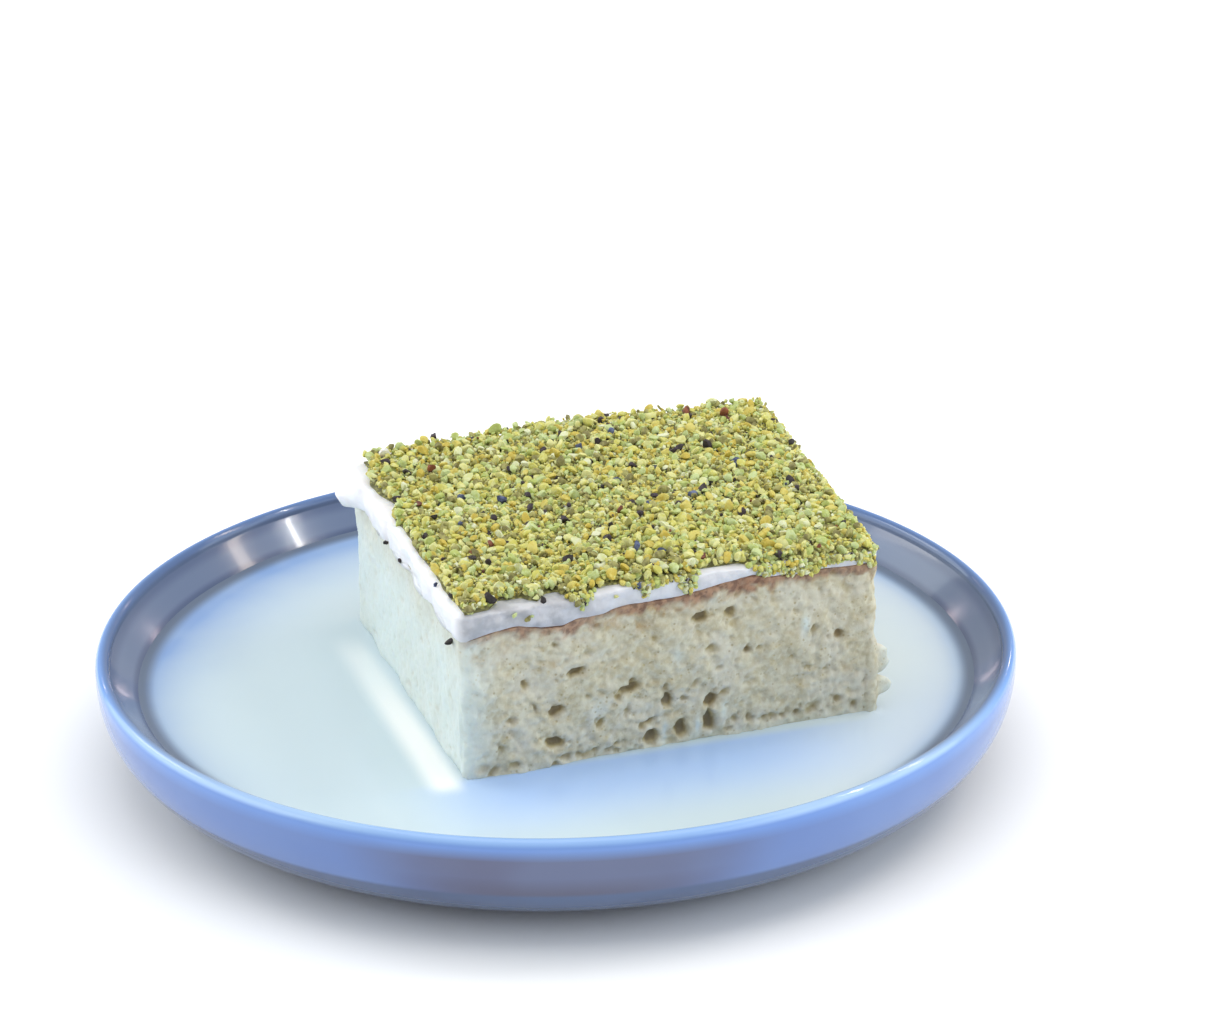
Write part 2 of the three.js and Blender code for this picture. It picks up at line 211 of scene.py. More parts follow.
class Outline:
    """The cake's outline in its own frame, front edge first, anticlockwise from above.

    Lengths along it are counted from the front left corner. left and right tell how squarely
    each point faces that way.
    """

    def __init__(self, spacing):
        corners = np.array(CAKE_CORNERS)
        sides = np.roll(corners, -1, axis=0) - corners
        along = sides / np.linalg.norm(sides, axis=1)[:, None]
        outs = np.column_stack((along[:, 1], -along[:, 0]))
        arcs = [self.arc(corners[i], outs[i - 1], outs[i], spacing) for i in range(4)]
        places, ways = [], []
        for i, (arc_places, arc_ways) in enumerate(arcs):
            start, end = arc_places[-1], arcs[(i + 1) % 4][0][0]
            steps = round(np.linalg.norm(end - start) / spacing)
            shares = np.arange(1, steps)[:, None] / steps
            places += [arc_places, lerp(start, end, shares)]
            ways += [arc_ways, np.repeat(outs[i][None], steps - 1, axis=0)]
        self.at = np.concatenate(places)
        self.out = np.concatenate(ways)
        self.left = np.clip(-self.out[:, 0], 0, None) ** 2
        self.right = np.clip(self.out[:, 0], 0, None) ** 2
        gaps = np.linalg.norm(np.diff(self.at, axis=0), axis=1)
        self.along = np.concatenate(((0,), np.cumsum(gaps))) - CORNER_SHIFT
        self.girth = gaps.sum() + np.linalg.norm(self.at[0] - self.at[-1])

    @staticmethod
    def arc(corner, before, after, spacing):
        """The rounded corner between two sides, as places and the way out at each."""
        half = math.acos(np.clip(before @ after, -1, 1)) / 2
        inward = (before + after) / np.linalg.norm(before + after)
        centre = corner - inward * CORNER_RADIUS / math.cos(half)
        steps = max(3, round(2 * half * CORNER_RADIUS / spacing))
        ways = np.array([lerp(before, after, k / steps) for k in range(steps + 1)])
        ways /= np.linalg.norm(ways, axis=1)[:, None]
        return centre + ways * CORNER_RADIUS, ways

    def past(self, along):
        """How far each point lies past a length along the outline, the short way round."""
        return (self.along - along + self.girth / 2) % self.girth - self.girth / 2

    def ring(self, grow, height, share=1.0):
        """The outline moved outwards by grow, shrunk about the middle and set at a height."""
        flat = (self.at + self.out * np.reshape(grow, (-1, 1))) * share
        level = height(flat[:, 0], flat[:, 1]) if callable(height) else height
        return np.column_stack((flat, np.broadcast_to(level, len(flat))))


# Heights of the layers, as in the solids

def sponge_top(x, y):
    return SPONGE_TOP + SPONGE_SWELL * smooth(x, -18, 6) + 0.25 * ripple(x, y)


def cream_top(x, y):
    swell = CREAM_SWELL * smooth(x, -34, 0)
    dip = CREAM_DIP * smooth(x, 8, 40)
    return CREAM_TOP + swell - dip + 0.2 * ripple(y, x)


FRONT_LENGTH = 80.2

# Height of the baked edge along the front, by the length from the left corner
CRUST_LINE = (
    (0.3, 43.6), (2.5, 44.1), (7.2, 44.9), (11.0, 45.0), (15.7, 44.0), (18.5, 43.9), (21.4, 44.8),
    (27.1, 45.2), (30.0, 45.7), (33.8, 46.1), (41.5, 46.0), (45.4, 46.7), (49.2, 47.2), (53.1, 47.8),
    (55.4, 48.0), (58.0, 47.3), (64.8, 47.1), (68.8, 47.1), (72.7, 46.9), (79.8, 46.8),
)


def crust_edge(outline):
    """The height of the sponge's top edge round the outline."""
    along = outline.along
    on_front = between(along, -1, 1, FRONT_LENGTH - 1, FRONT_LENGTH + 2)
    level = lerp(sponge_top(*outline.at.T), follow(CRUST_LINE, along), on_front)
    return level + 0.15 * ripple(along, 12)


def lean_at(outline):
    """How far the side leans in at the floor of the dish, round the outline."""
    lean = lerp(CAKE_LEAN, -RIGHT_BULGE, outline.right)
    return lean * smooth(outline.at[:, 0], -32, -6)


def cream_edge(outline):
    """How far the cream hangs over the side and stands out, and the reach of its lip."""
    left, y = outline.left, outline.at[:, 1]
    wave = 0.5 + 0.5 * np.sin(0.42 * y + 0.8)
    lip = left * hill(y, LIP_PLACE, LIP_SPREAD)
    hang = left * (0.6 + 0.7 * wave) + 1.4 * lip
    bulge = 0.25 + left * (0.5 + 0.4 * wave)
    return hang, bulge, LIP_REACH * lip


# How far behind the front edge the coat starts, by the length from the left corner
BARE_FRONT = (
    (0, 0.3), (5, 0.8), (7.5, 4.2), (12.5, 4.2), (14.5, 1.0), (16.5, 3.6), (19, 3.6), (20.5, 0.8),
    (24, 1.0), (26, 1.8), (31, 1.4), (35, 0.8), (44, 0.6), (46, 2.0), (54, 2.0), (57, 0.5), (81, 0.4),
)


def nut_level(y):
    """The coat's thickness, which grows a little towards the back."""
    return NUT_THICKNESS + NUT_HEAP * smooth(y, 8, 34)


def nut_place(across, back):
    """A place on the cake by shares across and back, inside the coat's uneven edge."""
    front_left, front_right, back_right, back_left = CAKE_CORNERS
    wander = 0.6 * ripple(across * 90 + back * 37, back * 80 - across * 31)
    near = lerp(front_left[1], front_right[1], across) + 0.4 * wander
    near = near + follow(BARE_FRONT, across * FRONT_LENGTH)
    far = lerp(back_left[1], back_right[1], across) - 0.6 - 0.4 * wander
    y = lerp(near, far, back)
    bare = 0.6 + 0.6 * wander + 1.8 * hill(y, 15.5, 3.5) + 1.4 * smooth(y, 25, 35)
    left = lerp(front_left[0], back_left[0], back) + bare
    right = lerp(front_right[0], back_right[0], back) - 1.4 + 0.4 * wander
    return lerp(left, right, across), y


# Meshes

def new_piece(name, shape, node, material, soft_angle=None):
    """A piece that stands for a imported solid, from its points in millimetres, faces and masks."""
    points, faces, masks = shape
    mesh = bpy.data.meshes.new(name)
    mesh.from_pydata((np.asarray(points) * MM).tolist(), [], faces)
    for mask, values in masks.items():
        layer = mesh.attributes.new(mask, "FLOAT", "POINT")
        layer.data.foreach_set("value", np.asarray(values, np.float32))
    mesh.shade_smooth()
    if soft_angle is not None:
        mesh.set_sharp_from_angle(angle=soft_angle)
    mesh.materials.append(material)
    mesh.update()
    piece = bpy.data.objects.new(name, mesh)
    bpy.context.scene.collection.objects.link(piece)
    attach(piece, BODY)
    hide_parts(node)
    return piece


def bands(rings, count, closed=False):
    """Quads between successive rings of count points."""
    faces = []
    for r in range(rings if closed else rings - 1):
        low, high = r * count, (r + 1) % rings * count
        for i in range(count):
            after = (i + 1) % count
            faces.append((low + i, low + after, high + after, high + i))
    return faces


def capped(rings):
    """Points and faces of a closed solid from rings, lowest first, with a point at each end."""
    count = len(rings[0])
    ends = [ring.mean(axis=0) for ring in (rings[0], rings[-1])]
    points = np.concatenate([*rings, np.array(ends)])
    faces = bands(len(rings), count)
    low, high = len(points) - 2, len(points) - 1
    top = (len(rings) - 1) * count
    for i in range(count):
        after = (i + 1) % count
        faces.append((low, after, i))
        faces.append((high, top + i, top + after))
    return points, faces


def revolved(profile, segments):
    """A profile of radius and height turned round the upright axis, from pole to pole."""
    angles = np.arange(segments) * 2 * math.pi / segments
    rings = [
        np.column_stack((r * np.cos(angles), r * np.sin(angles), np.full(segments, z)))
        for r, z in profile[1:-1]
    ]
    points, faces = capped(rings)
    points[-2] = (0, 0, profile[0][1])
    points[-1] = (0, 0, profile[-1][1])
    return points, faces


# Materials

class Finish:
    """A new material, with short ways to add its nodes and join them."""

    def __init__(self, name):
        self.material = bpy.data.materials.new(name)
        self.material.use_nodes = True
        self.tree = self.material.node_tree
        self.shader = self.tree.nodes["Principled BSDF"]

    def join(self, socket, value):
        """Sets a socket to a number or colour, or links another node's output to it."""
        if isinstance(value, bpy.types.NodeSocket):
            self.tree.links.new(value, socket)
            return
        if hasattr(value, "__len__") and len(value) == 3 and len(socket.default_value) == 4:
            value = (*value, 1.0)
        socket.default_value = value

    def surface(self, **values):
        for name, value in values.items():
            self.join(self.shader.inputs[name.replace("_", " ")], value)

    def node(self, kind, inputs, output, **options):
        """Adds a node, sets its options, fills its inputs and returns one of its outputs."""
        node = self.tree.nodes.new("ShaderNode" + kind)
        for name, value in options.items():
            setattr(node, name, value)
        for name, value in inputs.items():
            self.join(node.inputs[name], value)
        return node.outputs[output]

    def place(self):
        """Where a point lies in the part's own frame, in metres."""
        return self.node("TexCoord", {}, "Object")

    def axis(self, index):
        """One coordinate of that place."""
        return self.node("SeparateXYZ", {0: self.place()}, index)

    def from_middle(self):
        """Its distance from the dish's upright axis."""
        flat = self.node("VectorMath", {0: self.place(), 1: (1, 1, 0)}, 0, operation="MULTIPLY")
        return self.node("VectorMath", {0: flat}, "Value", operation="LENGTH")

    def mask(self, name):
        return self.node("Attribute", {}, "Fac", attribute_name=name)

    def noise(self, grain_mm, detail, distortion=0.0):
        """Soft random values with lumps about grain_mm across."""
        inputs = {"Vector": self.place(), "Scale": 1 / (grain_mm * MM)}
        inputs.update(Detail=detail, Distortion=distortion)
        return self.node("TexNoise", inputs, "Fac")

    def cells(self, grain_mm):
        """The distance to the nearest of random points about grain_mm apart."""
        inputs = {"Vector": self.place(), "Scale": 1 / (grain_mm * MM)}
        return self.node("TexVoronoi", inputs, "Distance")

    def span(self, value, low, high, to_low=0.0, to_high=1.0):
        """Maps a value from one range to another, softly, and holds it there."""
        names = ("Value", "From Min", "From Max", "To Min", "To Max")
        inputs = dict(zip(names, (value, low, high, to_low, to_high)))
        return self.node("MapRange", inputs, "Result", interpolation_type="SMOOTHSTEP")

    def zone(self, place, low_mm, high_mm, to_low=0.0, to_high=1.0):
        """The same for a place in metres, from a range in millimetres."""
        return self.span(place, low_mm * MM, high_mm * MM, to_low, to_high)

    def patches(self, grain_mm, detail, low, high, to_low=0.0, to_high=1.0):
        """The same for noise, which makes soft patches about grain_mm across."""
        return self.span(self.noise(grain_mm, detail), low, high, to_low, to_high)

    def sums(self, operation, first, second):
        return self.node("Math", {0: first, 1: second}, 0, operation=operation)

    def times(self, first, second):
        return self.sums("MULTIPLY", first, second)

    def mix(self, share, first, second):
        """A colour between two others."""
        return self.node("Mix", {0: share, 6: first, 7: second}, 2, data_type="RGBA")

    def ramp(self, share, *stops):
        """A colour from stops of position and colour."""
        node = self.tree.nodes.new("ShaderNodeValToRGB")
        self.join(node.inputs["Fac"], share)
        elements = node.color_ramp.elements
        while len(elements) < len(stops):
            elements.new(0.5)
        for element, (position, colour) in zip(elements, stops):
            element.position = position
            element.color = (*colour, 1.0)
        return node.outputs["Color"]

    def bump(self, height, strength, depth_mm):
        inputs = {"Height": height, "Strength": strength, "Distance": depth_mm * MM}
        self.join(self.shader.inputs["Normal"], self.node("Bump", inputs, "Normal"))


# Where the glaze changes from front to back, by y: the painted shade that greys the outside at the
# front, the stretch of wall and lip at the front without the painted shade lines, the rim's sides and
# its very front, with the rim painted lighter between them. Last, the bare foot, by height.
GREY_FRONT = (-86.5, -77.0)
CLEAR_FRONT = (-75.0, -45.0)
RIM_SIDES = (-60.0, -15.0)
RIM_FRONT = (-83.0, -76.0)
BARE_FOOT = (0.12, 0.35)


def glaze_finish(settings):
    """Blue glaze with painted shade: darker down towards the foot, greyer towards the front, dark
    lines by the milk, under the lip and on the rim's inner edge; paler over the rim, with painted
    light on its front; bare under the foot.
    """
    finish = Finish("glaze")
    back, height, radius = finish.axis(1), finish.axis(2), finish.from_middle()
    rise = finish.sums("DIVIDE", height, LIP_HEIGHT * MM)
    # Painted shade: the outside runs from the bright shoulder under the rim down to a dark low glaze
    # above the foot.
    blue = finish.ramp(
        rise, (0.1, settings.low_shade_colour), (0.5, settings.outer_colour),
        (0.9, settings.outer_colour), (1.0, settings.shoulder_colour),
    )
    # Painted shade and painted reflection of dark surroundings: the outside greys towards the front.
    grey = finish.ramp(
        rise, (0.42, settings.low_shade_colour), (0.74, settings.grey_shade_colour),
        (0.9, settings.grey_shade_colour), (1.0, settings.shoulder_colour),
    )
    outer = finish.mix(finish.zone(back, *GREY_FRONT, 1, 0), blue, grey)
    # Painted shade: dark glaze just above the milk, and under the lip and on the rim's inner edge
    # except towards the front.
    shore = finish.zone(height, MILK_LEVEL + 0.5, MILK_LEVEL + 1.6, 0.9, 0)
    inner = finish.mix(shore, settings.inner_colour, settings.shade_line_colour)
    not_near = finish.zone(back, *CLEAR_FRONT, 0.15, 1)
    under_lip = finish.zone(height, LIP_HEIGHT - 2.0, LIP_HEIGHT - 0.3, 0, 0.6)
    inner = finish.mix(finish.times(under_lip, not_near), inner, settings.shade_line_colour)
    inside = finish.zone(radius, INNER_RADIUS + 0.2, INNER_RADIUS + 0.9, 1, 0)
    wall = finish.mix(inside, outer, inner)
    # Painted light: the rim is paler towards the front than at its sides.
    beside = finish.sums(
        "MAXIMUM", finish.zone(back, *RIM_SIDES), finish.zone(back, *RIM_FRONT, 0.4, 0),
    )
    rim = finish.mix(beside, settings.lit_rim_colour, settings.rim_colour)
    inner_rim = finish.zone(radius, INNER_RADIUS + 0.5, INNER_RADIUS + 2.6, 0.75, 0)
    rim = finish.mix(finish.times(inner_rim, not_near), rim, settings.shade_line_colour)
    cloudy = finish.patches(26, 2, 0.3, 0.7, 0, 0.1)
    on_rim = finish.zone(height, LIP_HEIGHT + 0.3, LIP_HEIGHT + 1.4)
    glazed = finish.mix(finish.sums("MAXIMUM", cloudy, on_rim), wall, rim)
    bare = finish.zone(height, *BARE_FOOT, 1, 0)
    specks = finish.patches(0.9, 2, 0.4, 0.75)
    clay = finish.mix(specks, settings.clay_colour, settings.speck_colour)
    finish.surface(
        Base_Color=finish.mix(bare, glazed, clay),
        Roughness=finish.span(bare, 0, 1, 0.15, 0.8),
        Coat_Weight=0.25,
        Coat_Roughness=0.05,
        IOR=1.42,
    )
    finish.bump(finish.noise(7, 2), 0.12, 0.25)
    return finish.material


def milk_finish(settings):
    """Sweet milk, blue where it thins at the wall, with painted shade there, before the cake and at
    the shore, a pale streak beside the cake and painted light on the right.
    """
    finish = Finish("milk")
    at_wall = finish.times(finish.mask("wall"), finish.patches(16, 2, 0.35, 0.65, 0.85, 1.0))
    body = finish.mix(finish.mask("front"), settings.milk_colour, settings.front_shade_colour)
    body = finish.mix(at_wall, body, settings.thin_milk_shade_colour)
    body = finish.mix(finish.mask("shore"), body, settings.shore_shade_colour)
    finish.surface(
        Base_Color=finish.mix(finish.mask("froth"), body, settings.pale_milk_colour),
        Roughness=0.14,
        IOR=1.35,
        Subsurface_Weight=0.35,
        Subsurface_Radius=(1.0, 0.9, 0.8),
        Subsurface_Scale=2.0 * MM,
    )
    finish.bump(finish.noise(18, 1), 0.05, 0.4)
    return finish.material


def crumb_finish(settings):
    """Soaked crumb: white where the milk stands in it and painted light on the left side and the front
    left corner, ochre with painted shade in the pores, a brown skin on top.
    """
    finish = Finish("crumb")
    soaked, pore = finish.mask("soaked"), finish.mask("pore")
    face = finish.mix(
        finish.patches(1.3, 5, 0.3, 0.7), settings.crumb_colour, settings.deep_colour,
    )
    cloud = finish.span(finish.noise(7, 4, 0.8), 0.42, 0.66, 0, 0.45)
    face = finish.mix(cloud, face, settings.damp_colour)
    # Soaked crumb, with painted light on the left side and the front left corner.
    face = finish.mix(soaked, face, settings.soaked_lit_colour)
    # Painted shade: tiny pinholes darken the crumb, fewer where it is soaked.
    pinholes = finish.span(finish.cells(1.0), 0.1, 0.34, 1, 0)
    pinholes = finish.times(pinholes, finish.patches(3.0, 2, 0.45, 0.6))
    pinholes = finish.times(pinholes, finish.span(soaked, 0.2, 1, 0.5, 0.1))
    # Painted shade in the hollows: the pores take ochre colours that deepen with depth, darkest at the
    # bottom of the deepest.
    hollow = finish.sums("MAXIMUM", pinholes, finish.span(pore, 0.06, 0.95, 0, 0.85))
    depths = finish.mix(
        finish.patches(2.4, 2, 0.4, 0.6), settings.pore_colour, settings.pore_shade,
    )
    depths = finish.mix(finish.span(pore, 0.6, 1.0), depths, settings.pore_deep_shade)
    face = finish.mix(hollow, face, depths)
    toast = finish.times(finish.mask("toast"), finish.patches(1.2, 3, 0.3, 0.6, 0.4))
    stain = finish.mix(
        finish.patches(3.2, 2, 0.42, 0.58), settings.toast_colour, settings.ochre_colour,
    )
    face = finish.mix(toast, face, stain)
    baked = finish.mix(
        finish.patches(1.1, 4, 0.38, 0.62), settings.crust_colour, settings.crust_shade,
    )
    finish.surface(
        Base_Color=finish.mix(finish.mask("crust"), face, baked),
        Roughness=0.5,
        IOR=1.4,
        Subsurface_Weight=0.3,
        Subsurface_Radius=(1.0, 0.8, 0.5),
        Subsurface_Scale=1.3 * MM,
        Coat_Weight=0.12,
        Coat_Roughness=0.3,
    )
    finish.bump(finish.sums("SUBTRACT", finish.noise(0.7, 4), pinholes), 0.45, 0.3)
    return finish.material


def cream_finish(settings):
    """Whipped cream, greyer along the front side with painted shade, less so towards the right."""
    finish = Finish("cream")
    warm = finish.patches(5, 2, 0.4, 0.7, 0, 0.5)
    thick = finish.mix(warm, settings.cream_colour, settings.warm_colour)
    # Painted shade on the front side, in patches.
    thin = finish.times(finish.mask("thin"), finish.patches(2.6, 3, 0.35, 0.65, 0.65, 1.0))
    finish.surface(
        Base_Color=finish.mix(thin, thick, settings.cream_shade_colour),
        Roughness=0.42,
        IOR=1.4,
        Subsurface_Weight=0.5,
        Subsurface_Radius=(1.0, 0.85, 0.7),
        Subsurface_Scale=2.0 * MM,
    )
    finish.bump(finish.noise(1.3, 4), 0.55, 0.3)
    return finish.material


def nut_finish(name, dull, bright):
    """Crushed nut whose crumbs run from a dull to a bright colour, with floury faces."""
    finish = Finish(name)
    tone = finish.patches(1.0, 2, 0.3, 0.7, -0.4, 0.4)
    tone = finish.span(finish.sums("ADD", finish.mask("shade"), tone), 0.0, 1.0)
    floury = tuple(min(1.0, c * 1.1 + 0.05) for c in bright)
    finish.surface(
        Base_Color=finish.mix(
            finish.patches(0.8, 3, 0.45, 0.75, 0, 0.35), finish.mix(tone, dull, bright), floury,
        ),
        Roughness=0.66,
        IOR=1.45,
        Subsurface_Weight=0.12,
        Subsurface_Radius=(1.0, 0.8, 0.3),
        Subsurface_Scale=0.8 * MM,
    )
    finish.bump(finish.noise(0.35, 3), 0.5, 0.15)
    return finish.material


# Share of the bed's colour left in the painted shadow of its dark cells
BED_GAP_SHADOW = 0.45


def bed_finish(settings):
    """The fine crumbs between the larger ones, darker than them as painted shade in the gaps, with
    painted shadow in dark cells.
    """
    finish = Finish("pistachio_bed")
    base = finish.mix(finish.patches(1.4, 3, 0.35, 0.65), settings.bed_colour, settings.bed_pale)
    # Painted shadow: dark cells between the fine crumbs.
    dark = tuple(c * BED_GAP_SHADOW for c in settings.bed_colour)
    base = finish.mix(finish.span(finish.cells(0.9), 0.1, 0.6), base, dark)
    finish.surface(Base_Color=base, Roughness=0.7)
    finish.bump(finish.noise(0.5, 4), 0.8, 0.3)
    return finish.material


# Sizes and colours that a user would change

def length(name, description, default_mm):
    return FloatProperty(
        name=name, description=description, default=default_mm * MM, unit="LENGTH", min=0,
    )


def colour(name, description, default):
    return FloatVectorProperty(
        name=name, description=description, default=default, subtype="COLOR", min=0, max=1,
    )


class DishSettings(bpy.types.PropertyGroup):
    """The glazed dish"""

    segments: IntProperty(
        name="Segments", description="Faces round the dish", default=DISH_SEGMENTS, min=24,
    )
    # Painted shade: the dark low glaze stands in for shade and dark reflections low on the outside.
    low_shade_colour: colour("Low glaze", "Thick glaze above the foot", (0.08, 0.046, 0.04))
    outer_colour: colour("Outer glaze", "Glaze on the outside of the wall", (0.135, 0.22, 0.49))
    # Painted shade and painted reflection: the grey outside wall at the front.
    grey_shade_colour: colour("Grey glaze", "Outside of the wall at the front", (0.115, 0.125, 0.22))
    shoulder_colour: colour("Shoulder glaze", "Glaze just under the rim", (0.15, 0.28, 0.64))
    inner_colour: colour("Inner glaze", "Glaze inside the dish", (0.15, 0.20, 0.32))
    # Painted shade: the dark lines by the milk, under the lip and on the rim's inner edge.
    shade_line_colour: colour("Pooled glaze", "Where glaze pools inside the lip", (0.07, 0.10, 0.20))
    rim_colour: colour("Rim glaze", "Glaze where it is thin over the rim", (0.16, 0.34, 0.75))
    # Painted light: the rim's front is paler than its sides.
    lit_rim_colour: colour("Near rim", "The rim's glaze towards the front", (0.36, 0.53, 0.80))
    clay_colour: colour("Bare clay", "Unglazed ring under the foot", (0.42, 0.38, 0.32))
    speck_colour: colour("Clay specks", "Paler specks in the bare clay", (0.55, 0.5, 0.43))


class MilkSettings(bpy.types.PropertyGroup):
    """The pool of milk"""

    meniscus: length("Meniscus", "How far the milk climbs where it meets a wall", 0.7)
    milk_colour: colour("Milk", "The open pool", (0.555, 0.665, 0.71))
    # Painted shadow: the cake's shade on the milk before it.
    front_shade_colour: colour("Blue milk", "In front of the cake", (0.41, 0.575, 0.88))
    # Partly thin milk over the blue glaze, partly painted shade of the wall's shadow.
    thin_milk_shade_colour: colour("Thin milk", "Where it thins out at the wall", (0.24, 0.38, 0.67))
    # Painted shade where the milk meets the wall.
    shore_shade_colour: colour("Shore", "A film of milk on the dish's wall", (0.12, 0.155, 0.22))
    # The pale streak beside the cake, and the painted light on the milk at the right.
    pale_milk_colour: colour("Froth", "The line of froth beside the cake", (0.95, 0.97, 0.95))


class SpongeSettings(bpy.types.PropertyGroup):
    """The soaked sponge"""

    fine_pores: IntProperty(name="Fine pores", description="Pinholes in the cut sides", default=5200)
    open_pores: IntProperty(name="Open pores", description="Wider pores in the cut sides", default=330)
    crumb_colour: colour("Crumb", "Face of the crumb", (0.635, 0.60, 0.46))
    deep_colour: colour("Deep crumb", "Mottling of the crumb", (0.51, 0.45, 0.30))
    damp_colour: colour("Damp crumb", "Paler patches of the front", (0.645, 0.635, 0.57))
    # Soaked crumb, and painted light on the left side and the front left corner.
    soaked_lit_colour: colour("Soaked crumb", "Where milk stands in the crumb", (0.68, 0.755, 0.725))
    # Painted shade in the hollows, over the crumb's own ochre.
    pore_colour: colour("Pore", "Inside the larger pores", (0.44, 0.34, 0.13))
    pore_shade: colour("Pore in shade", "Darker parts of the pores", (0.30, 0.21, 0.07))
    pore_deep_shade: colour("Deep pore", "Bottom of the deepest pores", (0.17, 0.12, 0.045))
    toast_colour: colour("Toasted crumb", "Stains under the crust", (0.34, 0.28, 0.18))
    ochre_colour: colour("Ochre crumb", "Yellower stains", (0.46, 0.30, 0.12))
    crust_colour: colour("Crust", "Baked skin under the cream", (0.38, 0.21, 0.125))
    crust_shade: colour("Dark crust", "Browner parts of the skin", (0.19, 0.09, 0.055))


class CreamSettings(bpy.types.PropertyGroup):
    """The whipped cream"""

    cream_colour: colour("Cream", "Whipped cream", (0.86, 0.86, 0.90))
    warm_colour: colour("Warm cream", "Faint warm patches", (0.84, 0.80, 0.82))
    # Painted shade on the front side of the cream.
    cream_shade_colour: colour("Thin cream", "Along the front edge", (0.42, 0.425, 0.455))


class CoatSettings(bpy.types.PropertyGroup):
    """The crushed pistachio"""

    grain: length("Crumb size", "Usual width of a crumb", 1.6)
    coarse: IntProperty(name="Coarse crumbs", description="Crumbs in the coat", default=4700)
    fine: IntProperty(name="Fine crumbs", description="Small crumbs between them", default=9000)
    # Partly painted shade: the bed is darker than the crumbs above it, filling the gaps.
    bed_colour: colour("Bed", "Fine crumbs under the coat", (0.30, 0.285, 0.10))
    bed_pale: colour("Pale bed", "Paler patches of the fine crumbs", (0.52, 0.49, 0.16))
    gold: colour("Gold", "Deep yellow crumbs", (0.60, 0.53, 0.14))
    yellow: colour("Yellow", "Bright yellow crumbs", (0.65, 0.64, 0.28))
    green: colour("Green", "Green crumbs", (0.51, 0.585, 0.28))
    pale: colour("Pale", "Floury pale crumbs", (0.68, 0.70, 0.48))
    olive: colour("Olive", "Brownish crumbs with skin", (0.38, 0.36, 0.12))
    skin: colour("Skin", "Dark flecks of skin", (0.045, 0.030, 0.040))
    rust: colour("Rust", "A few reddish crumbs of skin", (0.28, 0.09, 0.04))
    slate: colour("Slate", "A few bluish crumbs of skin", (0.12, 0.15, 0.27))
    fleck: colour("Fleck", "The white fleck near the left corner", (0.93, 0.92, 0.92))


class StageSettings(bpy.types.PropertyGroup):
    """Floor, lights and camera"""

    floor_colour: colour("Floor", "Plain pale floor", (0.96, 0.96, 0.96))
    key_power: FloatProperty(name="Key light", description="Watts from the left", default=7.0)
    fill_power: FloatProperty(name="Fill light", description="Watts from the right", default=5.8)
    top_power: FloatProperty(name="Top light", description="Watts from above", default=4.6)
    sky: FloatProperty(name="Sky", description="Strength of the even light", default=0.58)


class DessertSettings(bpy.types.PropertyGroup):
    """All the settings of the dessert"""

    dish: PointerProperty(type=DishSettings, name="Dish")
    milk: PointerProperty(type=MilkSettings, name="Milk")
    sponge: PointerProperty(type=SpongeSettings, name="Sponge")
    cream: PointerProperty(type=CreamSettings, name="Cream")
    coat: PointerProperty(type=CoatSettings, name="Pistachio")
    stage: PointerProperty(type=StageSettings, name="Stage")


# Shapes of the dish and the milk

def dish_shape(segments):
    """The dish, from the middle of its underside round to its floor."""
    ring = FOOT_RADIUS - FOOT_WIDTH
    turn = np.linspace(0, math.pi / 2, FOOT_STEPS + 1)
    foot_inside = np.column_stack((
        ring - FOOT_RECESS * (1 - np.sin(turn)), FOOT_RECESS * np.cos(turn),
    ))
    hollow = [(radius, FOOT_RECESS) for radius in (0, 12, 30)]
    sole = [(ring + 1.5, 0), (FOOT_RADIUS - 1.4, 0), (FOOT_RADIUS - 0.4, 0.05)]
    outer = wall_curve((FOOT_RADIUS, FOOT_EDGE), DISH_RADIUS, OUTER_CURVE, WALL_STEPS)
    turn = np.linspace(0, math.pi, RIM_STEPS + 1)[1:-1]
    rim = np.column_stack((
        DISH_RADIUS - RIM_THICKNESS / 2 * (1 - np.cos(turn)),
        LIP_HEIGHT + RIM_ROUNDING * np.sin(turn),
    ))
    floor = [(radius, FLOOR_TOP) for radius in (50, 25, 0)]
    profile = [*hollow, *foot_inside, *sole, *outer, *rim, *inner_wall(WALL_STEPS)[::-1], *floor]
    points, faces = revolved(profile, segments)
    return points, faces, {}


# The pale streak along the cake's left foot, from where it starts to where it ends in the cake's
# frame, and how much painted light whitens the milk at the right
STREAK_ACROSS = (-49.5, -45.2, -43.6, -40.6)
STREAK_BACK = (-43, -37, 20, 34)
RIGHT_PAINTED_LIGHT = 0.22


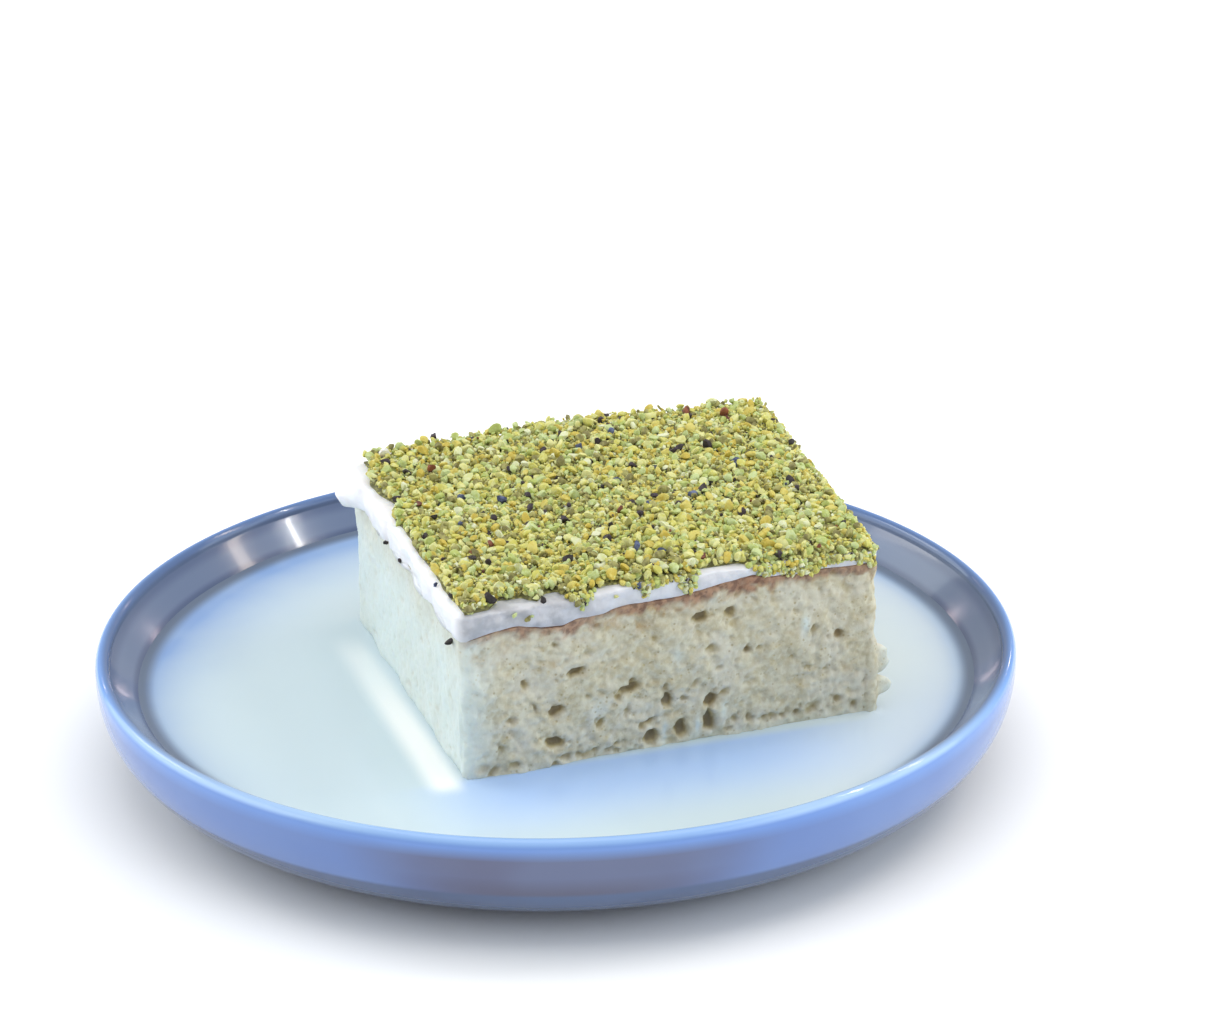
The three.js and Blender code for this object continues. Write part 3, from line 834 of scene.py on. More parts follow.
def milk_masks(points, shore_radius):
    """Where the pool is thin, painted in shade at the wall, before the cake and at the shore, pale
    along the cake's foot and painted light on the right, for its finish.
    """
    x, y = on_cake(points)
    dish_x, dish_y = points[:, 0], points[:, 1]
    to_wall = shore_radius - np.linalg.norm(points[:, :2], axis=1)
    before = -38.0 - y
    # Painted shadow: the cake's bluish shade on the milk before its front side, weaker to the right.
    in_front = between(before, lerp(-2, -26, smooth(x, 36, 50)), 1, 6, 30)
    in_front = in_front * lerp(1, 0.3, smooth(x, 15, 44))
    froth = between(x, *STREAK_ACROSS) * between(y, *STREAK_BACK)
    froth = froth * lerp(1, 0.45, smooth(y, -20, 25))
    # Painted light: the milk at the right is whitened towards the streak's colour, lifting the cake's
    # shade there.
    white = RIGHT_PAINTED_LIGHT * smooth(dish_x, 30, 62) * smooth(to_wall, 2, 7)
    # The fringe is milk thinning over the blue glaze; the haze behind it is painted shade, the wall's
    # shadow on the milk, weaker on the right.
    behind = smooth(dish_y, -45, 30)
    clear = lerp(0.85, 0.2, smooth(dish_x, 20, 60))
    fringe = np.exp(-np.clip(to_wall, 0, None) / 4.2)
    haze = np.exp(-((np.clip(to_wall, 0, None) / lerp(7.0, 16.0, behind)) ** 2))
    return {
        "wall": np.clip(fringe + clear * haze * behind, 0, 1) * smooth(dish_y, -62, -35),
        "front": in_front * smooth(x, -58, -30),
        # Painted shade: the milk darkens where it meets the wall, away from the front.
        "shore": 0.9 * (1 - smooth(to_wall, 1.4, 4.2)) * smooth(dish_y, -66, -50),
        # The pale streak and the painted light at the right share one mask.
        "froth": np.maximum(froth, white),
    }


def milk_shape(meniscus):
    """The pool: a ring of milk from inside the sponge's side to inside the dish's wall."""
    outline = Outline(MILK_SPACING)
    foot = in_dish(outline.ring(-1.0, MILK_LEVEL, 0.93))
    edge = in_dish(outline.ring(-0.7 * lean_at(outline), MILK_LEVEL))
    angle = np.arctan2(foot[:, 1], foot[:, 0])
    wall = inner_wall(MILK_RINGS)
    shore_radius = np.interp(MILK_LEVEL + meniscus, wall[:, 1], wall[:, 0]) + GLAZE_OVERLAP
    way = np.column_stack((np.cos(angle), np.sin(angle)))
    rings = []
    for share in 0.5 - 0.5 * np.cos(np.linspace(0, math.pi, MILK_RINGS)):
        flat = lerp(foot[:, :2], way * shore_radius, share)
        to_wall = shore_radius - np.linalg.norm(flat, axis=1)
        to_cake = np.linalg.norm(flat[:, None] - edge[None, :, :2], axis=2).min(axis=1)
        climb = np.exp(-to_wall / 1.1) + 0.9 * np.exp(-to_cake / 0.9)
        rings.append(np.column_stack((flat, MILK_LEVEL + meniscus * np.clip(climb, 0, 1))))
    for radius, height in wall[wall[:, 1] < MILK_LEVEL - 0.5][::-4]:
        drop = np.full(len(way), height - GLAZE_OVERLAP)
        rings.append(np.column_stack((way * (radius + GLAZE_OVERLAP), drop)))
    rings.append(np.column_stack((foot[:, :2], np.full(len(foot), FLOOR_TOP - GLAZE_OVERLAP))))
    faces = bands(len(rings), len(outline.at), closed=True)
    points = np.concatenate(rings)
    return points, faces, milk_masks(points, shore_radius)


# Shape of the sponge

# Openings of the crumb on the front cut: length from the left corner, height, half sizes, turn
FRONT_PORES = (
    (17.3, 21.1, 2.3, 1.1, -0.1),
    (31.9, 27.9, 2.3, 1.0, 0.1),
    (32.3, 29.2, 0.9, 0.9, 0.0),
    (29.7, 26.8, 0.9, 0.8, 0.5),
    (21.6, 34.0, 2.1, 0.8, 0.15),
    (11.9, 33.0, 0.8, 1.3, 0.0),
    (39.2, 24.4, 1.1, 1.6, 0.2),
    (38.8, 26.9, 0.5, 1.2, 0.0),
    (34.5, 20.2, 0.9, 0.9, 0.0),
    (36.1, 20.9, 1.6, 0.7, 0.5),
    (17.7, 27.5, 1.5, 1.3, 0.0),
    (8.5, 26.2, 0.8, 0.6, 0.0),
    (13.7, 28.2, 0.5, 1.1, 0.5),
    (26.2, 22.6, 0.8, 0.9, 0.0),
    (31.4, 24.1, 0.8, 0.6, 0.0),
    (36.8, 36.8, 0.6, 0.7, 0.0),
    (17.3, 40.4, 0.6, 0.6, 0.0),
    (6.9, 21.3, 0.9, 0.7, 0.0),
    (45.3, 39.2, 1.7, 1.1, 0.0),
    (51.2, 38.1, 1.1, 1.1, 0.0),
    (47.6, 32.7, 1.3, 0.5, 0.0),
    (55.1, 30.4, 1.1, 0.9, 0.2),
    (57.4, 30.8, 0.9, 0.4, 0.4),
    (67.9, 33.4, 0.6, 1.0, 0.0),
    (73.1, 31.3, 1.2, 1.0, 0.0),
    (71.6, 43.2, 0.8, 0.6, 0.0),
    (47.6, 22.4, 1.5, 1.3, 0.2),
    (50.1, 23.4, 1.1, 0.6, 0.4),
    (47.6, 19.0, 1.2, 2.4, 0.1),
    (41.9, 18.3, 1.5, 2.1, -0.1),
    (73.0, 19.1, 0.8, 0.8, 0.0),
    (63.7, 28.4, 0.7, 0.4, -0.4),
    (67.1, 26.2, 0.9, 0.4, -0.3),
    (70.5, 25.2, 0.8, 0.5, 0.0),
    (42.5, 24.3, 0.8, 0.6, 0.0),
    (19.0, 17.8, 1.1, 0.5, 0.0),
    (22.5, 17.0, 0.9, 0.6, 0.0),
    (25.2, 17.6, 0.9, 0.5, 0.3),
    (52.5, 18.1, 0.9, 0.6, 0.0),
    (55.5, 18.0, 0.8, 0.8, 0.0),
    (58.6, 17.5, 0.8, 0.8, 0.0),
    (61.8, 17.5, 0.9, 0.6, 0.0),
    (65.0, 17.6, 0.9, 0.6, 0.0),
    (68.2, 17.9, 0.9, 0.7, 0.2),
    (76.4, 17.2, 0.9, 0.8, 0.0),
    (36.3, 17.6, 1.7, 1.2, 0.0),
    (29.6, 18.0, 0.9, 0.5, 0.2),
)
PORE_DEPTH = 1.7

# Stretches of the front's foot that the milk has eaten into: length along, and how many pits
FOOT_PITS = ((2, 10, 3), (14, 28, 5), (28, 50, 6), (50, 78, 4))

# The baked skin along the front: length from the left corner, thickness and strength
CRUST_SKIN = (
    (2, 1.0, 0.5), (7, 1.4, 0.8), (11, 1.8, 0.9), (16, 1.3, 0.7), (21, 2.1, 0.9), (24, 1.9, 0.7),
    (28, 1.4, 0.75), (35, 1.9, 0.9), (40, 1.8, 0.95), (46, 1.7, 0.9), (50, 1.8, 0.9), (55, 2.5, 1.0),
    (59, 2.2, 0.95), (63, 1.9, 0.85), (68, 1.5, 0.85), (72, 1.5, 0.8), (76, 2.2, 0.8), (79, 2.0, 0.8),
)

# Stains below the skin: length along the front, reach, strength and depth
CRUST_STAINS = ((12, 5, 0.4, 2.6), (28, 5, 0.5, 3.2), (36, 6, 0.9, 4.6), (46, 4, 0.6, 3.2),
                (57, 9, 0.6, 3.6), (66, 5, 0.6, 3.0), (75.2, 2.2, 0.8, 3.6), (79, 2, 0.7, 3.2))

# Ochre spots and pale patches of the front: length along, height, half sizes and strength
OCHRE_SPOTS = ((75.2, 44.9, 1.6, 2.2, 1.6), (34.5, 39.5, 2.3, 1.3, 0.6), (29.5, 40.5, 1.7, 1.1, 0.5),
               (43.5, 43.5, 1.7, 1.4, 0.5), (3.0, 40.3, 1.5, 1.6, 0.5), (8.0, 41.5, 1.5, 1.6, 0.45),
               (16.9, 36.7, 1.3, 1.1, 0.4), (75.5, 24.5, 2.0, 1.6, 0.4), (73.1, 31.0, 1.6, 1.2, 0.5),
               (17.7, 27.8, 2.0, 1.7, 0.3), (2.0, 17.5, 4.0, 1.5, 0.4))
PALE_PATCHES = ((38.9, 18.5, 0.5, 2.0, 0.9), (45.2, 18.5, 0.5, 1.8, 0.9), (50.4, 20.5, 0.6, 2.2, 0.6),
                (66.1, 34.5, 0.7, 2.1, 0.9), (41.4, 32.5, 1.1, 2.4, 0.5), (26.0, 26.0, 2.0, 2.2, 0.3),
                (48.0, 42.5, 2.0, 1.0, 0.3))

# Shreds torn from the right side: their height, half height and stand, and how far behind
# the corner they start
SHREDS = ((24.8, 2.6, 2.5), (19.6, 1.7, 2.9))
SHRED_BEHIND = 3.0
TORN_STAND = 1.0


# Noise by height and cell: how far the edges of hollows wander, and the lumps of the side
EDGE_WANDER = ((0.45, 2.4), (0.35, 1.1), (0.15, 0.6))
SIDE_LUMPS = ((0.20, 4.0), (0.26, 1.7), (0.16, 0.8))


class Crumb:
    """The depth of the hollows over the cut sides: rows of height, columns round the outline."""

    def __init__(self, outline, heights):
        self.outline = outline
        self.heights = heights
        self.depth = np.zeros((len(heights), len(outline.along)))
        self.places = self.surface()
        self.slide_along = rough(self.places, 21, *EDGE_WANDER)
        self.slide_up = rough(self.places, 24, *EDGE_WANDER)

    def surface(self):
        """Points of the smooth side, for noise that runs on round the corners."""
        rows, columns = len(self.heights), len(self.outline.along)
        flat = np.broadcast_to(self.outline.at, (rows, columns, 2))
        up = np.broadcast_to(self.heights[:, None, None], (rows, columns, 1))
        return np.concatenate((flat, up), axis=2)

    def dent(self, along, height, wide, tall, turn, deep):
        """Presses an oval hollow with a ragged edge into the side."""
        reach = max(wide, tall) + 1.0
        across = self.outline.past(along)
        columns = np.flatnonzero(np.abs(across) < reach)
        rows = np.flatnonzero(np.abs(self.heights - height) < reach)
        if not len(rows) or not len(columns):
            return
        block = np.ix_(rows, columns)
        rough = min(1.0, 0.35 + 0.5 * min(wide, tall))
        s = across[columns][None, :] + rough * self.slide_along[block]
        z = self.heights[rows][:, None] - height + rough * self.slide_up[block]
        u = (s * math.cos(turn) + z * math.sin(turn)) / wide
        v = (z * math.cos(turn) - s * math.sin(turn)) / tall
        bowl = np.clip(1 - (u * u + v * v), 0, 1) ** 0.6
        self.depth[block] = np.maximum(self.depth[block], deep * bowl)


def crumb_depth(outline, heights, settings):
    """All the pores of the cut sides."""
    crumb = Crumb(outline, heights)
    rng = np.random.default_rng(11)
    top = SPONGE_TOP + 1.0
    girth = outline.girth
    for along, height, wide, tall, turn in FRONT_PORES:
        crumb.dent(along, height, wide, tall, turn, PORE_DEPTH * min(1, 0.45 + 0.3 * wide * tall))
        for _ in range(3):
            off = rng.normal(size=2) * (wide, tall)
            crumb.dent(along + off[0], height + off[1], 0.5, 0.45, 0.0, 0.6)
    for start, end, count in FOOT_PITS:
        for _ in range(count):
            size = rng.uniform(0.45, 0.95)
            crumb.dent(rng.uniform(start, end), MILK_LEVEL + rng.uniform(0.5, 1.8),
                       size * 1.2, size, 0.0, 0.9)
    for _ in range(settings.open_pores):
        size = 0.55 + 0.75 * rng.random() ** 2
        crumb.dent(
            rng.random() * girth, rng.uniform(MILK_LEVEL, top - 2.5),
            size * rng.uniform(0.9, 1.6), size * 0.75, 0.5 * rng.normal(),
            rng.uniform(0.3, 0.8),
        )
    for _ in range(settings.fine_pores):
        size = rng.uniform(0.28, 0.6)
        crumb.dent(
            rng.random() * girth, rng.uniform(MILK_LEVEL - 1, top),
            size * 1.3, size, rng.random(), rng.uniform(0.12, 0.4),
        )
    return crumb


def shred_stand(outline, heights, places):
    """How far the torn shreds on the right side stand out, and how white they are."""
    behind = outline.past(FRONT_LENGTH)
    thin = hill(behind, SHRED_BEHIND, 1.3)[None, :] ** 2
    ragged = np.clip(1 + 0.4 * noise(places, 2.4, 35), 0.7, 1.3)
    stand = np.zeros_like(ragged)
    for height, half, reach in SHREDS:
        tall = np.clip(1 - ((heights - height) / half) ** 2, 0, 1)[:, None] ** 0.25
        stand = np.maximum(stand, reach * tall * thin * ragged)
    torn = hill(behind, SHRED_BEHIND + 1.5, 4.0)[None, :]
    torn = torn * smooth(-heights, -31, -27)[:, None] * (0.8 + 0.6 * noise(places, 2.5, 34))
    return stand + TORN_STAND * torn, np.clip(0.3 * stand, 0, 0.7)


def sponge_masks(crumb, below, shreds):
    """Where the crumb is hollow, baked, toasted or soaked, and where light and shade are painted, by
    depth below the top edge.
    """
    outline, places, heights = crumb.outline, crumb.places, crumb.heights[:, None]
    left = outline.left
    along = outline.past(FRONT_LENGTH / 2) + FRONT_LENGTH / 2
    on_front = between(along, -2, 0, FRONT_LENGTH, FRONT_LENGTH + 2)
    patchy = np.clip(0.5 + 1.0 * noise(places, 1.8, 36) + 0.5 * noise(places, 0.8, 38), 0, 1)
    at, thick, strength = np.transpose(CRUST_SKIN)
    line = lerp(0.5, np.interp(along, at, strength), on_front)
    thick = lerp(0.9, np.interp(along, at, thick), on_front)
    crust = line * smooth(thick * (0.4 + 0.9 * patchy) - below, -0.8, 0.8)

    def spot(at, height, wide, tall, strength):
        return strength * hill(along, at, wide) * hill(heights, height, tall)

    toast = np.zeros_like(below)
    for at, wide, strength, deep in CRUST_STAINS:
        reach = smooth(deep * (0.4 + 0.8 * patchy) - below, -0.5, 0.8)
        toast = np.maximum(toast, strength * hill(along, at, wide) * reach)
    for row in OCHRE_SPOTS:
        toast = np.maximum(toast, np.clip(spot(*row) * (0.6 + 0.6 * patchy), 0, 1))
    pale = sum(spot(*row) for row in PALE_PATCHES)
    hollow = np.clip(crumb.depth / 1.4, 0, 1)
    # Painted light: the front left corner is whitened, a glow of light through the crumb.
    corner = 0.8 * (1 - smooth(along, 0.5, 8)) * on_front
    # Soaked crumb is whiter near the milk, and the shreds and pale patches are whiter too; the left
    # side is whitened partly as soaked crumb and partly as painted light on the side that faces the
    # light.
    soaked = np.clip(left + corner + 0.3 * smooth(-heights, -18, -15.5) + shreds + pale, 0, 1)
    # Painted shade: the left side is less white just under the cream's hang.
    soaked = soaked * (1 - 0.5 * left * (1 - smooth(below, 1, 11)))
    # Painted shadow: a thin dark line under the cream's hang on the left side.
    under = 0.35 * left * hill(below, 1.7, 0.5) * patchy
    streaks = np.clip(0.35 + 1.2 * noise(places * (1, 1, 0.5), 5.0, 37), 0, 1)
    return {
        # The pore mask also carries the painted shadow line under the cream's hang.
        "pore": np.maximum(hollow * (1 - 0.6 * left), under),
        "crust": np.clip(crust, 0, 1) * (1 - 0.6 * left),
        "toast": toast * (1 - left),
        "soaked": soaked * (1 - 0.14 * streaks * left) * (1 - 0.6 * hollow),
    }


def sponge_shape(settings):
    """The sponge, with the masks that its finish reads."""
    outline = Outline(CRUMB_SPACING)
    hidden = np.array([SPONGE_FOOT, 9.0, 12.5])
    seen = np.arange(MILK_LEVEL - 2, SPONGE_TOP + 0.01, CRUMB_SPACING)
    heights = np.concatenate((hidden, seen))
    crumb = crumb_depth(outline, heights, settings)
    rise = ((heights - SPONGE_FOOT) / (heights[-1] - SPONGE_FOOT))[:, None]
    slow = 0.35 * ripple(outline.along[None, :], rise * 40)
    lumps = rough(crumb.places, 31, *SIDE_LUMPS)
    calm = 1 - 0.7 * outline.left
    grow = -lean_at(outline) * (1 - rise) + slow + (lumps - crumb.depth) * calm
    stand, shreds = shred_stand(outline, heights, crumb.places)
    grow = grow + stand
    top = crust_edge(outline)
    rings = [outline.ring(out, lerp(SPONGE_FOOT, top, up)) for out, up in zip(grow, rise)]
    rings.append(outline.ring(grow[-1] - 0.25, top + 0.15))
    rings.append(outline.ring(grow[-1] - 0.8, top + 0.2))
    rings += [outline.ring(-1.0, sponge_top, share) for share in (0.9, 0.6, 0.3)]
    points, faces = capped(rings)
    extra = len(points) - crumb.depth.size
    masks = sponge_masks(crumb, (1 - rise) * (top - SPONGE_FOOT), shreds)
    for name, values in masks.items():
        masks[name] = np.append(values, np.full(extra, 0.9 if name == "crust" else 0.0))
    return in_dish(points), faces, masks


# Shape of the cream

# The lip's reach at shares of the cream's height, and the side's noise by height and cell
LIP_PROFILE = ((0, 0.3), (0.15, 0.75), (0.33, 1.0), (0.55, 0.68), (0.8, 0.24), (1, 0))
CREAM_WOBBLE = ((0.45, 5.5), (0.35, 2.4), (0.18, 1.1))


def cream_shape():
    """The slab of cream, with a rounded shoulder that sags over the left side."""
    outline = Outline(CREAM_SPACING)
    hang, bulge, lip = cream_edge(outline)
    edge = crust_edge(outline)
    low, high = edge - hang, cream_top(*outline.at.T)
    hangs = np.clip(hang, 0, 1)
    under = edge + 0.05
    rings = [
        outline.ring(-1.0, lambda a, b: sponge_top(a, b) + 0.05, 0.6),
        outline.ring(-2.5, under),
        outline.ring(lerp(-0.9, 0.5, hangs), under - 0.1),
        outline.ring(lerp(-0.2, 1.0, hangs), low + 0.25),
    ]
    places = np.column_stack((outline.at, np.zeros(len(outline.at))))
    for share in np.linspace(0, 1, CREAM_STEPS + 1):
        angle = math.pi * (0.08 + 0.42 * share) if share > 0 else math.pi * 0.04
        full = math.sin(math.pi * min(share * 0.72 + 0.12, 0.5)) ** 0.5
        tuck = -CREAM_SHOULDER * smooth(share, 0.62, 1.0) ** 1.2
        level = lerp(low + 0.25, high, math.sin(angle) if share else 0.04)
        wobble = rough(places + (0, 0, share * 5), 51, *CREAM_WOBBLE)
        droop = lip * follow(LIP_PROFILE, math.sin(angle))
        rings.append(outline.ring((bulge + 0.25 * hangs) * full + droop + tuck + wobble, level))
    for share in (0.97, 0.8, 0.5, 0.2):
        rings.append(outline.ring(-CREAM_SHOULDER, cream_top, share))
    points, faces = capped(rings)
    # Mask of the painted shade: the side that faces the front, weaker towards the right.
    thin = smooth(-outline.out[:, 1], 0.3, 0.9) * lerp(1, 0.48, smooth(outline.at[:, 0], -28, -8))
    thin = np.tile(thin, len(rings))
    return in_dish(points), faces, {"thin": np.append(thin, (0, 0))}


# Shapes of the pistachio

BED_RELIEF = ((0.35, 1.5), (0.25, 0.8))


def bed_shape():
    """A slab of fine crumbs under the coarser ones."""
    draw = np.random.default_rng(23)
    steps = np.linspace(0, 1, BED_STEPS + 1)
    across, back = np.meshgrid(steps, steps)
    x, y = nut_place(across, back)
    places = np.stack((x, y, np.zeros_like(x)), axis=-1)
    edge = np.minimum(np.minimum(across, 1 - across), np.minimum(back, 1 - back)) * BED_STEPS
    relief = rough(places, 61, *BED_RELIEF) + 0.12 * draw.normal(size=x.shape)
    thickness = lerp(0.2, nut_level(y) - 0.8, smooth(edge, 0, 4)) + relief * smooth(edge, 0, 2)
    top, bottom = (
        np.stack((x, y, cream_top(x, y) + lift), axis=-1).reshape(-1, 3) for lift in (thickness, -0.4)
    )
    row = BED_STEPS + 1
    starts = [j * row + i for j in range(BED_STEPS) for i in range(BED_STEPS)]
    faces = [(at, at + 1, at + row + 1, at + row) for at in starts]
    rim = [*range(BED_STEPS)]
    rim += [j * row + BED_STEPS for j in range(BED_STEPS)]
    rim += [BED_STEPS * row + i for i in range(BED_STEPS, 0, -1)]
    rim += [j * row for j in range(BED_STEPS, 0, -1)]
    low = len(top)
    points = np.concatenate((top, bottom[rim]))
    for k in range(len(rim)):
        after = (k + 1) % len(rim)
        faces.append((rim[k], low + k, low + after, rim[after]))
    faces.append(tuple(low + k for k in range(len(rim) - 1, -1, -1)))
    return in_dish(points), faces, {}


def ball(subdivisions):
    """A round mesh of triangles about the origin, one unit in radius."""
    mesh = bmesh.new()
    bmesh.ops.create_icosphere(mesh, subdivisions=subdivisions, radius=1.0)
    points = np.array([vertex.co[:] for vertex in mesh.verts])
    faces = np.array([[vertex.index for vertex in face.verts] for face in mesh.faces])
    mesh.free()
    return points, faces


CHIP_SHAPES = 24
CHIP_CUTS = 9
CHIP_AXES = (1.25, 0.98, 0.78)


def chips(rng, subdivisions):
    """A few angular crumbs: balls cut flat by random planes."""
    points, faces = ball(subdivisions)
    shapes = []
    for _ in range(CHIP_SHAPES):
        chip = points * (1 + 0.06 * rng.normal(size=(len(points), 1)))
        for _ in range(CHIP_CUTS):
            way = rng.normal(size=3)
            way /= np.linalg.norm(way)
            over = np.clip(chip @ way - rng.uniform(0.42, 0.85), 0, None)
            chip = chip - over[:, None] * way
        shapes.append(chip * CHIP_AXES)
    return np.array(shapes), faces


def turns(rng, count):
    """Random turns about random axes, as matrices."""
    q = rng.normal(size=(count, 4))
    w, x, y, z = (q / np.linalg.norm(q, axis=1)[:, None]).T
    rows = (
        (1 - 2 * (y * y + z * z), 2 * (x * y - z * w), 2 * (x * z + y * w)),
        (2 * (x * y + z * w), 1 - 2 * (x * x + z * z), 2 * (y * z - x * w)),
        (2 * (x * z - y * w), 2 * (y * z + x * w), 1 - 2 * (x * x + y * y)),
    )
    return np.moveaxis(np.array([np.stack(row) for row in rows]), -1, 0)


def crumbs_at(places, radii, rng, subdivisions):
    """Angular crumbs at places: their points, faces, and a random shade for each crumb."""
    shapes, faces = chips(rng, subdivisions)
    sized = shapes[rng.integers(len(shapes), size=len(places))] * radii[:, None, None]
    turned = np.einsum("nij,nvj->nvi", turns(rng, len(places)), sized)
    points = (turned + places[:, None]).reshape(-1, 3)
    size = shapes.shape[1]
    starts = (np.arange(len(places)) * size)[:, None, None]
    all_faces = (faces[None] + starts).reshape(-1, 3).tolist()
    shade = np.repeat(rng.random(len(places)), size)
    return in_dish(points), all_faces, shade


CRUMB_LOOSENESS = 0.9


def scattered(rng, count):
    """Shares across and back for count crumbs, evenly loose over the coat."""
    columns = math.ceil(math.sqrt(count))
    rows = math.ceil(count / columns)
    column, row = np.meshgrid(np.arange(columns), np.arange(rows))
    loose = CRUMB_LOOSENESS * (rng.random((2, rows, columns)) - 0.5) + 0.5
    return ((column + loose[0]) / columns).ravel(), ((row + loose[1]) / rows).ravel()


# Crumbs that catch the eye in the coat: place on the cake, half width and kind
MARKED_CRUMBS = (
    (0.7, 22.6, 1.05, "slate"),
    (-3.9, -26.2, 0.95, "slate"),
    (-0.4, -29.4, 0.9, "slate"),
    (-19.8, 5.7, 0.95, "slate"),
    (-30.4, -2.4, 0.7, "slate"),
    (-14.1, 18.1, 0.95, "skin"),
    (-14.9, 4.9, 0.85, "skin"),
    (-23.6, 39.0, 0.95, "skin"),
    (-28.2, 24.3, 1.0, "rust"),
    (-34.9, 10.1, 0.8, "rust"),
    (-38.1, -5.5, 0.75, "skin"),
    (-35.0, -36.9, 1.15, "skin"),
    (-34.6, 34.6, 1.5, "fleck"),
    (20.1, -16.7, 1.05, "skin"),
    (-14.3, -3.7, 0.7, "skin"),
    (-9.2, -2.4, 0.65, "skin"),
    (-1.0, -8.5, 0.75, "rust"),
    (-27.9, -13.4, 0.75, "rust"),
    (9.4, 28.3, 0.85, "slate"),
    (12.3, 32.3, 0.75, "skin"),
    (26.5, 31.1, 0.75, "skin"),
    (34.3, -7.8, 0.7, "skin"),
    (36.0, -26.7, 0.75, "skin"),
    (27.7, -36.4, 0.6, "rust"),
)

# Crumbs stuck to the cream: length along the outline, height, how far out, half width and kind.
# Lengths below zero run back from the front left corner along the left side.
STRAY_CRUMBS = (
    (9.9, 47.9, 0.5, 0.6, "green"),
    (12.2, 46.9, 0.6, 0.85, "olive"),
    (13.1, 47.2, 0.5, 0.6, "green"),
    (15.2, 49.9, 0.4, 0.8, "skin"),
    (20.5, 49.3, 0.4, 0.8, "olive"),
    (29.0, 48.4, 0.4, 0.5, "yellow"),
    (-5.4, 41.4, 0.5, 0.85, "skin"),
    (-14.6, 48.9, 0.4, 0.5, "slate"),
    (-25.4, 47.5, 0.9, 0.5, "skin"),
    (-37.9, 44.3, 1.0, 0.55, "skin"),
    (-48.1, 43.8, 1.0, 0.55, "skin"),
    (-70.0, 43.6, 1.0, 0.6, "skin"),
)

# The coat's lower edge along the front: length from the left corner, and height
COAT_EDGE = (
    (0, 50.5), (1.7, 48.6), (3.2, 49.8), (5.5, 49.2), (7.4, 51.5), (13, 51.5), (15.2, 49.4),
    (16.8, 51), (18.7, 51), (20.1, 48.9), (21.4, 48.7), (22.7, 46.3), (24.3, 48.4), (25.8, 50),
    (31, 49.9), (33.8, 48.8), (34.9, 46.0), (36.1, 48.4), (38.6, 49.2), (40.7, 49.4), (42.3, 46.7),
    (43.8, 46.5), (45.4, 50.3), (54, 50.5), (56, 48.8), (58, 47.3), (60.9, 47.6), (62.9, 46.7),
    (64.8, 47.0), (67.2, 46.3), (69.2, 48), (74.7, 48.2), (77.7, 46.7), (79.9, 46.4),
)


# Kinds of crumb: name, share of the coat, and the duller of its two colours
CRUMB_KINDS = (
    ("gold", 0.17, (0.52, 0.40, 0.06)),
    ("yellow", 0.34, (0.55, 0.52, 0.11)),
    ("green", 0.23, (0.40, 0.46, 0.12)),
    ("pale", 0.09, (0.58, 0.60, 0.26)),
    ("olive", 0.145, (0.17, 0.15, 0.05)),
    ("skin", 0.021, (0.02, 0.015, 0.012)),
    ("rust", 0.002, (0.10, 0.03, 0.02)),
    ("slate", 0.002, (0.03, 0.04, 0.09)),
    ("fleck", 0.0, (0.80, 0.78, 0.78)),
)
COARSE_RADIUS = 0.7
CRUMB_EDGE = math.radians(32)


class Coat:
    """Sorts the crumbs of the coat into kinds, so that each kind is one piece."""

    kinds, shares, dull_tones = zip(*CRUMB_KINDS)

    def __init__(self, settings):
        self.rng = np.random.default_rng(41)
        self.grain = settings.grain / MM / 2
        self.places = {kind: [] for kind in self.kinds}
        self.radii = {kind: [] for kind in self.kinds}

    def add(self, kind, place, radius):
        self.places[kind].append(place)
        self.radii[kind].append(radius)

    def strew(self, across, back, lift, size):
        """Lays crumbs over the coat at shares across and back, of random kinds."""
        x, y = nut_place(across, back)
        radii = self.grain * size * np.clip(np.exp(0.26 * self.rng.normal(size=len(x))), 0.5, 1.4)
        z = cream_top(x, y) + nut_level(y) - 0.8 + lift + 0.28 * self.rng.normal(size=len(x))
        picks = self.rng.choice(len(self.kinds), size=len(x), p=self.shares)
        for pick, *place, radius in zip(picks, x, y, z, radii):
            self.add(self.kinds[pick], place, radius)

    def spill(self, outline):
        """Crumbs along the front and right edges that hang over the cream."""
        edge = follow(COAT_EDGE, outline.along)
        for point, out, low in zip(outline.at, outline.out, edge):
            in_front = -out[1] > 0.8
            if not in_front and out[0] < 0.8:
                continue
            top = cream_top(*point)
            reach = top - low if in_front else 0.5
            if reach < 0:
                continue
            for _ in range(round(4 + 3.5 * reach)):
                fall = reach * self.rng.random()
                stand = lerp(-1.0, 0.35, smooth(fall, -0.2, 0.7)) + 0.2 * self.rng.normal()
                place = point + out * stand
                kind = self.kinds[self.rng.choice(len(self.kinds), p=self.shares)]
                radius = self.grain * self.rng.uniform(0.5, 0.95)
                self.add(kind, (*place, top - fall + 0.5 * radius), radius)

    def crumbs(self, kind):
        """All crumbs of a kind as one mesh, the smaller ones with fewer faces."""
        places, radii = np.array(self.places[kind]), np.array(self.radii[kind])
        coarse = radii > COARSE_RADIUS
        points, faces, shade = crumbs_at(places[coarse], radii[coarse], self.rng, 2)
        more = crumbs_at(places[~coarse], radii[~coarse], self.rng, 1)
        faces += [[corner + len(points) for corner in face] for face in more[1]]
        return np.concatenate((points, more[0])), faces, {"shade": np.append(shade, more[2])}

    def mark(self):
        """The crumbs that catch the eye, and the strays on the cream's side."""
        for x, y, radius, kind in MARKED_CRUMBS:
            self.add(kind, (x, y, cream_top(x, y) + nut_level(y) + 0.35), radius)
        outline = Outline(CREAM_SPACING)
        for along, height, stand, radius, kind in STRAY_CRUMBS:
            i = int(np.argmin(np.abs(outline.past(along))))
            self.add(kind, (*(outline.at[i] + outline.out[i] * stand), height), radius)


# Stage

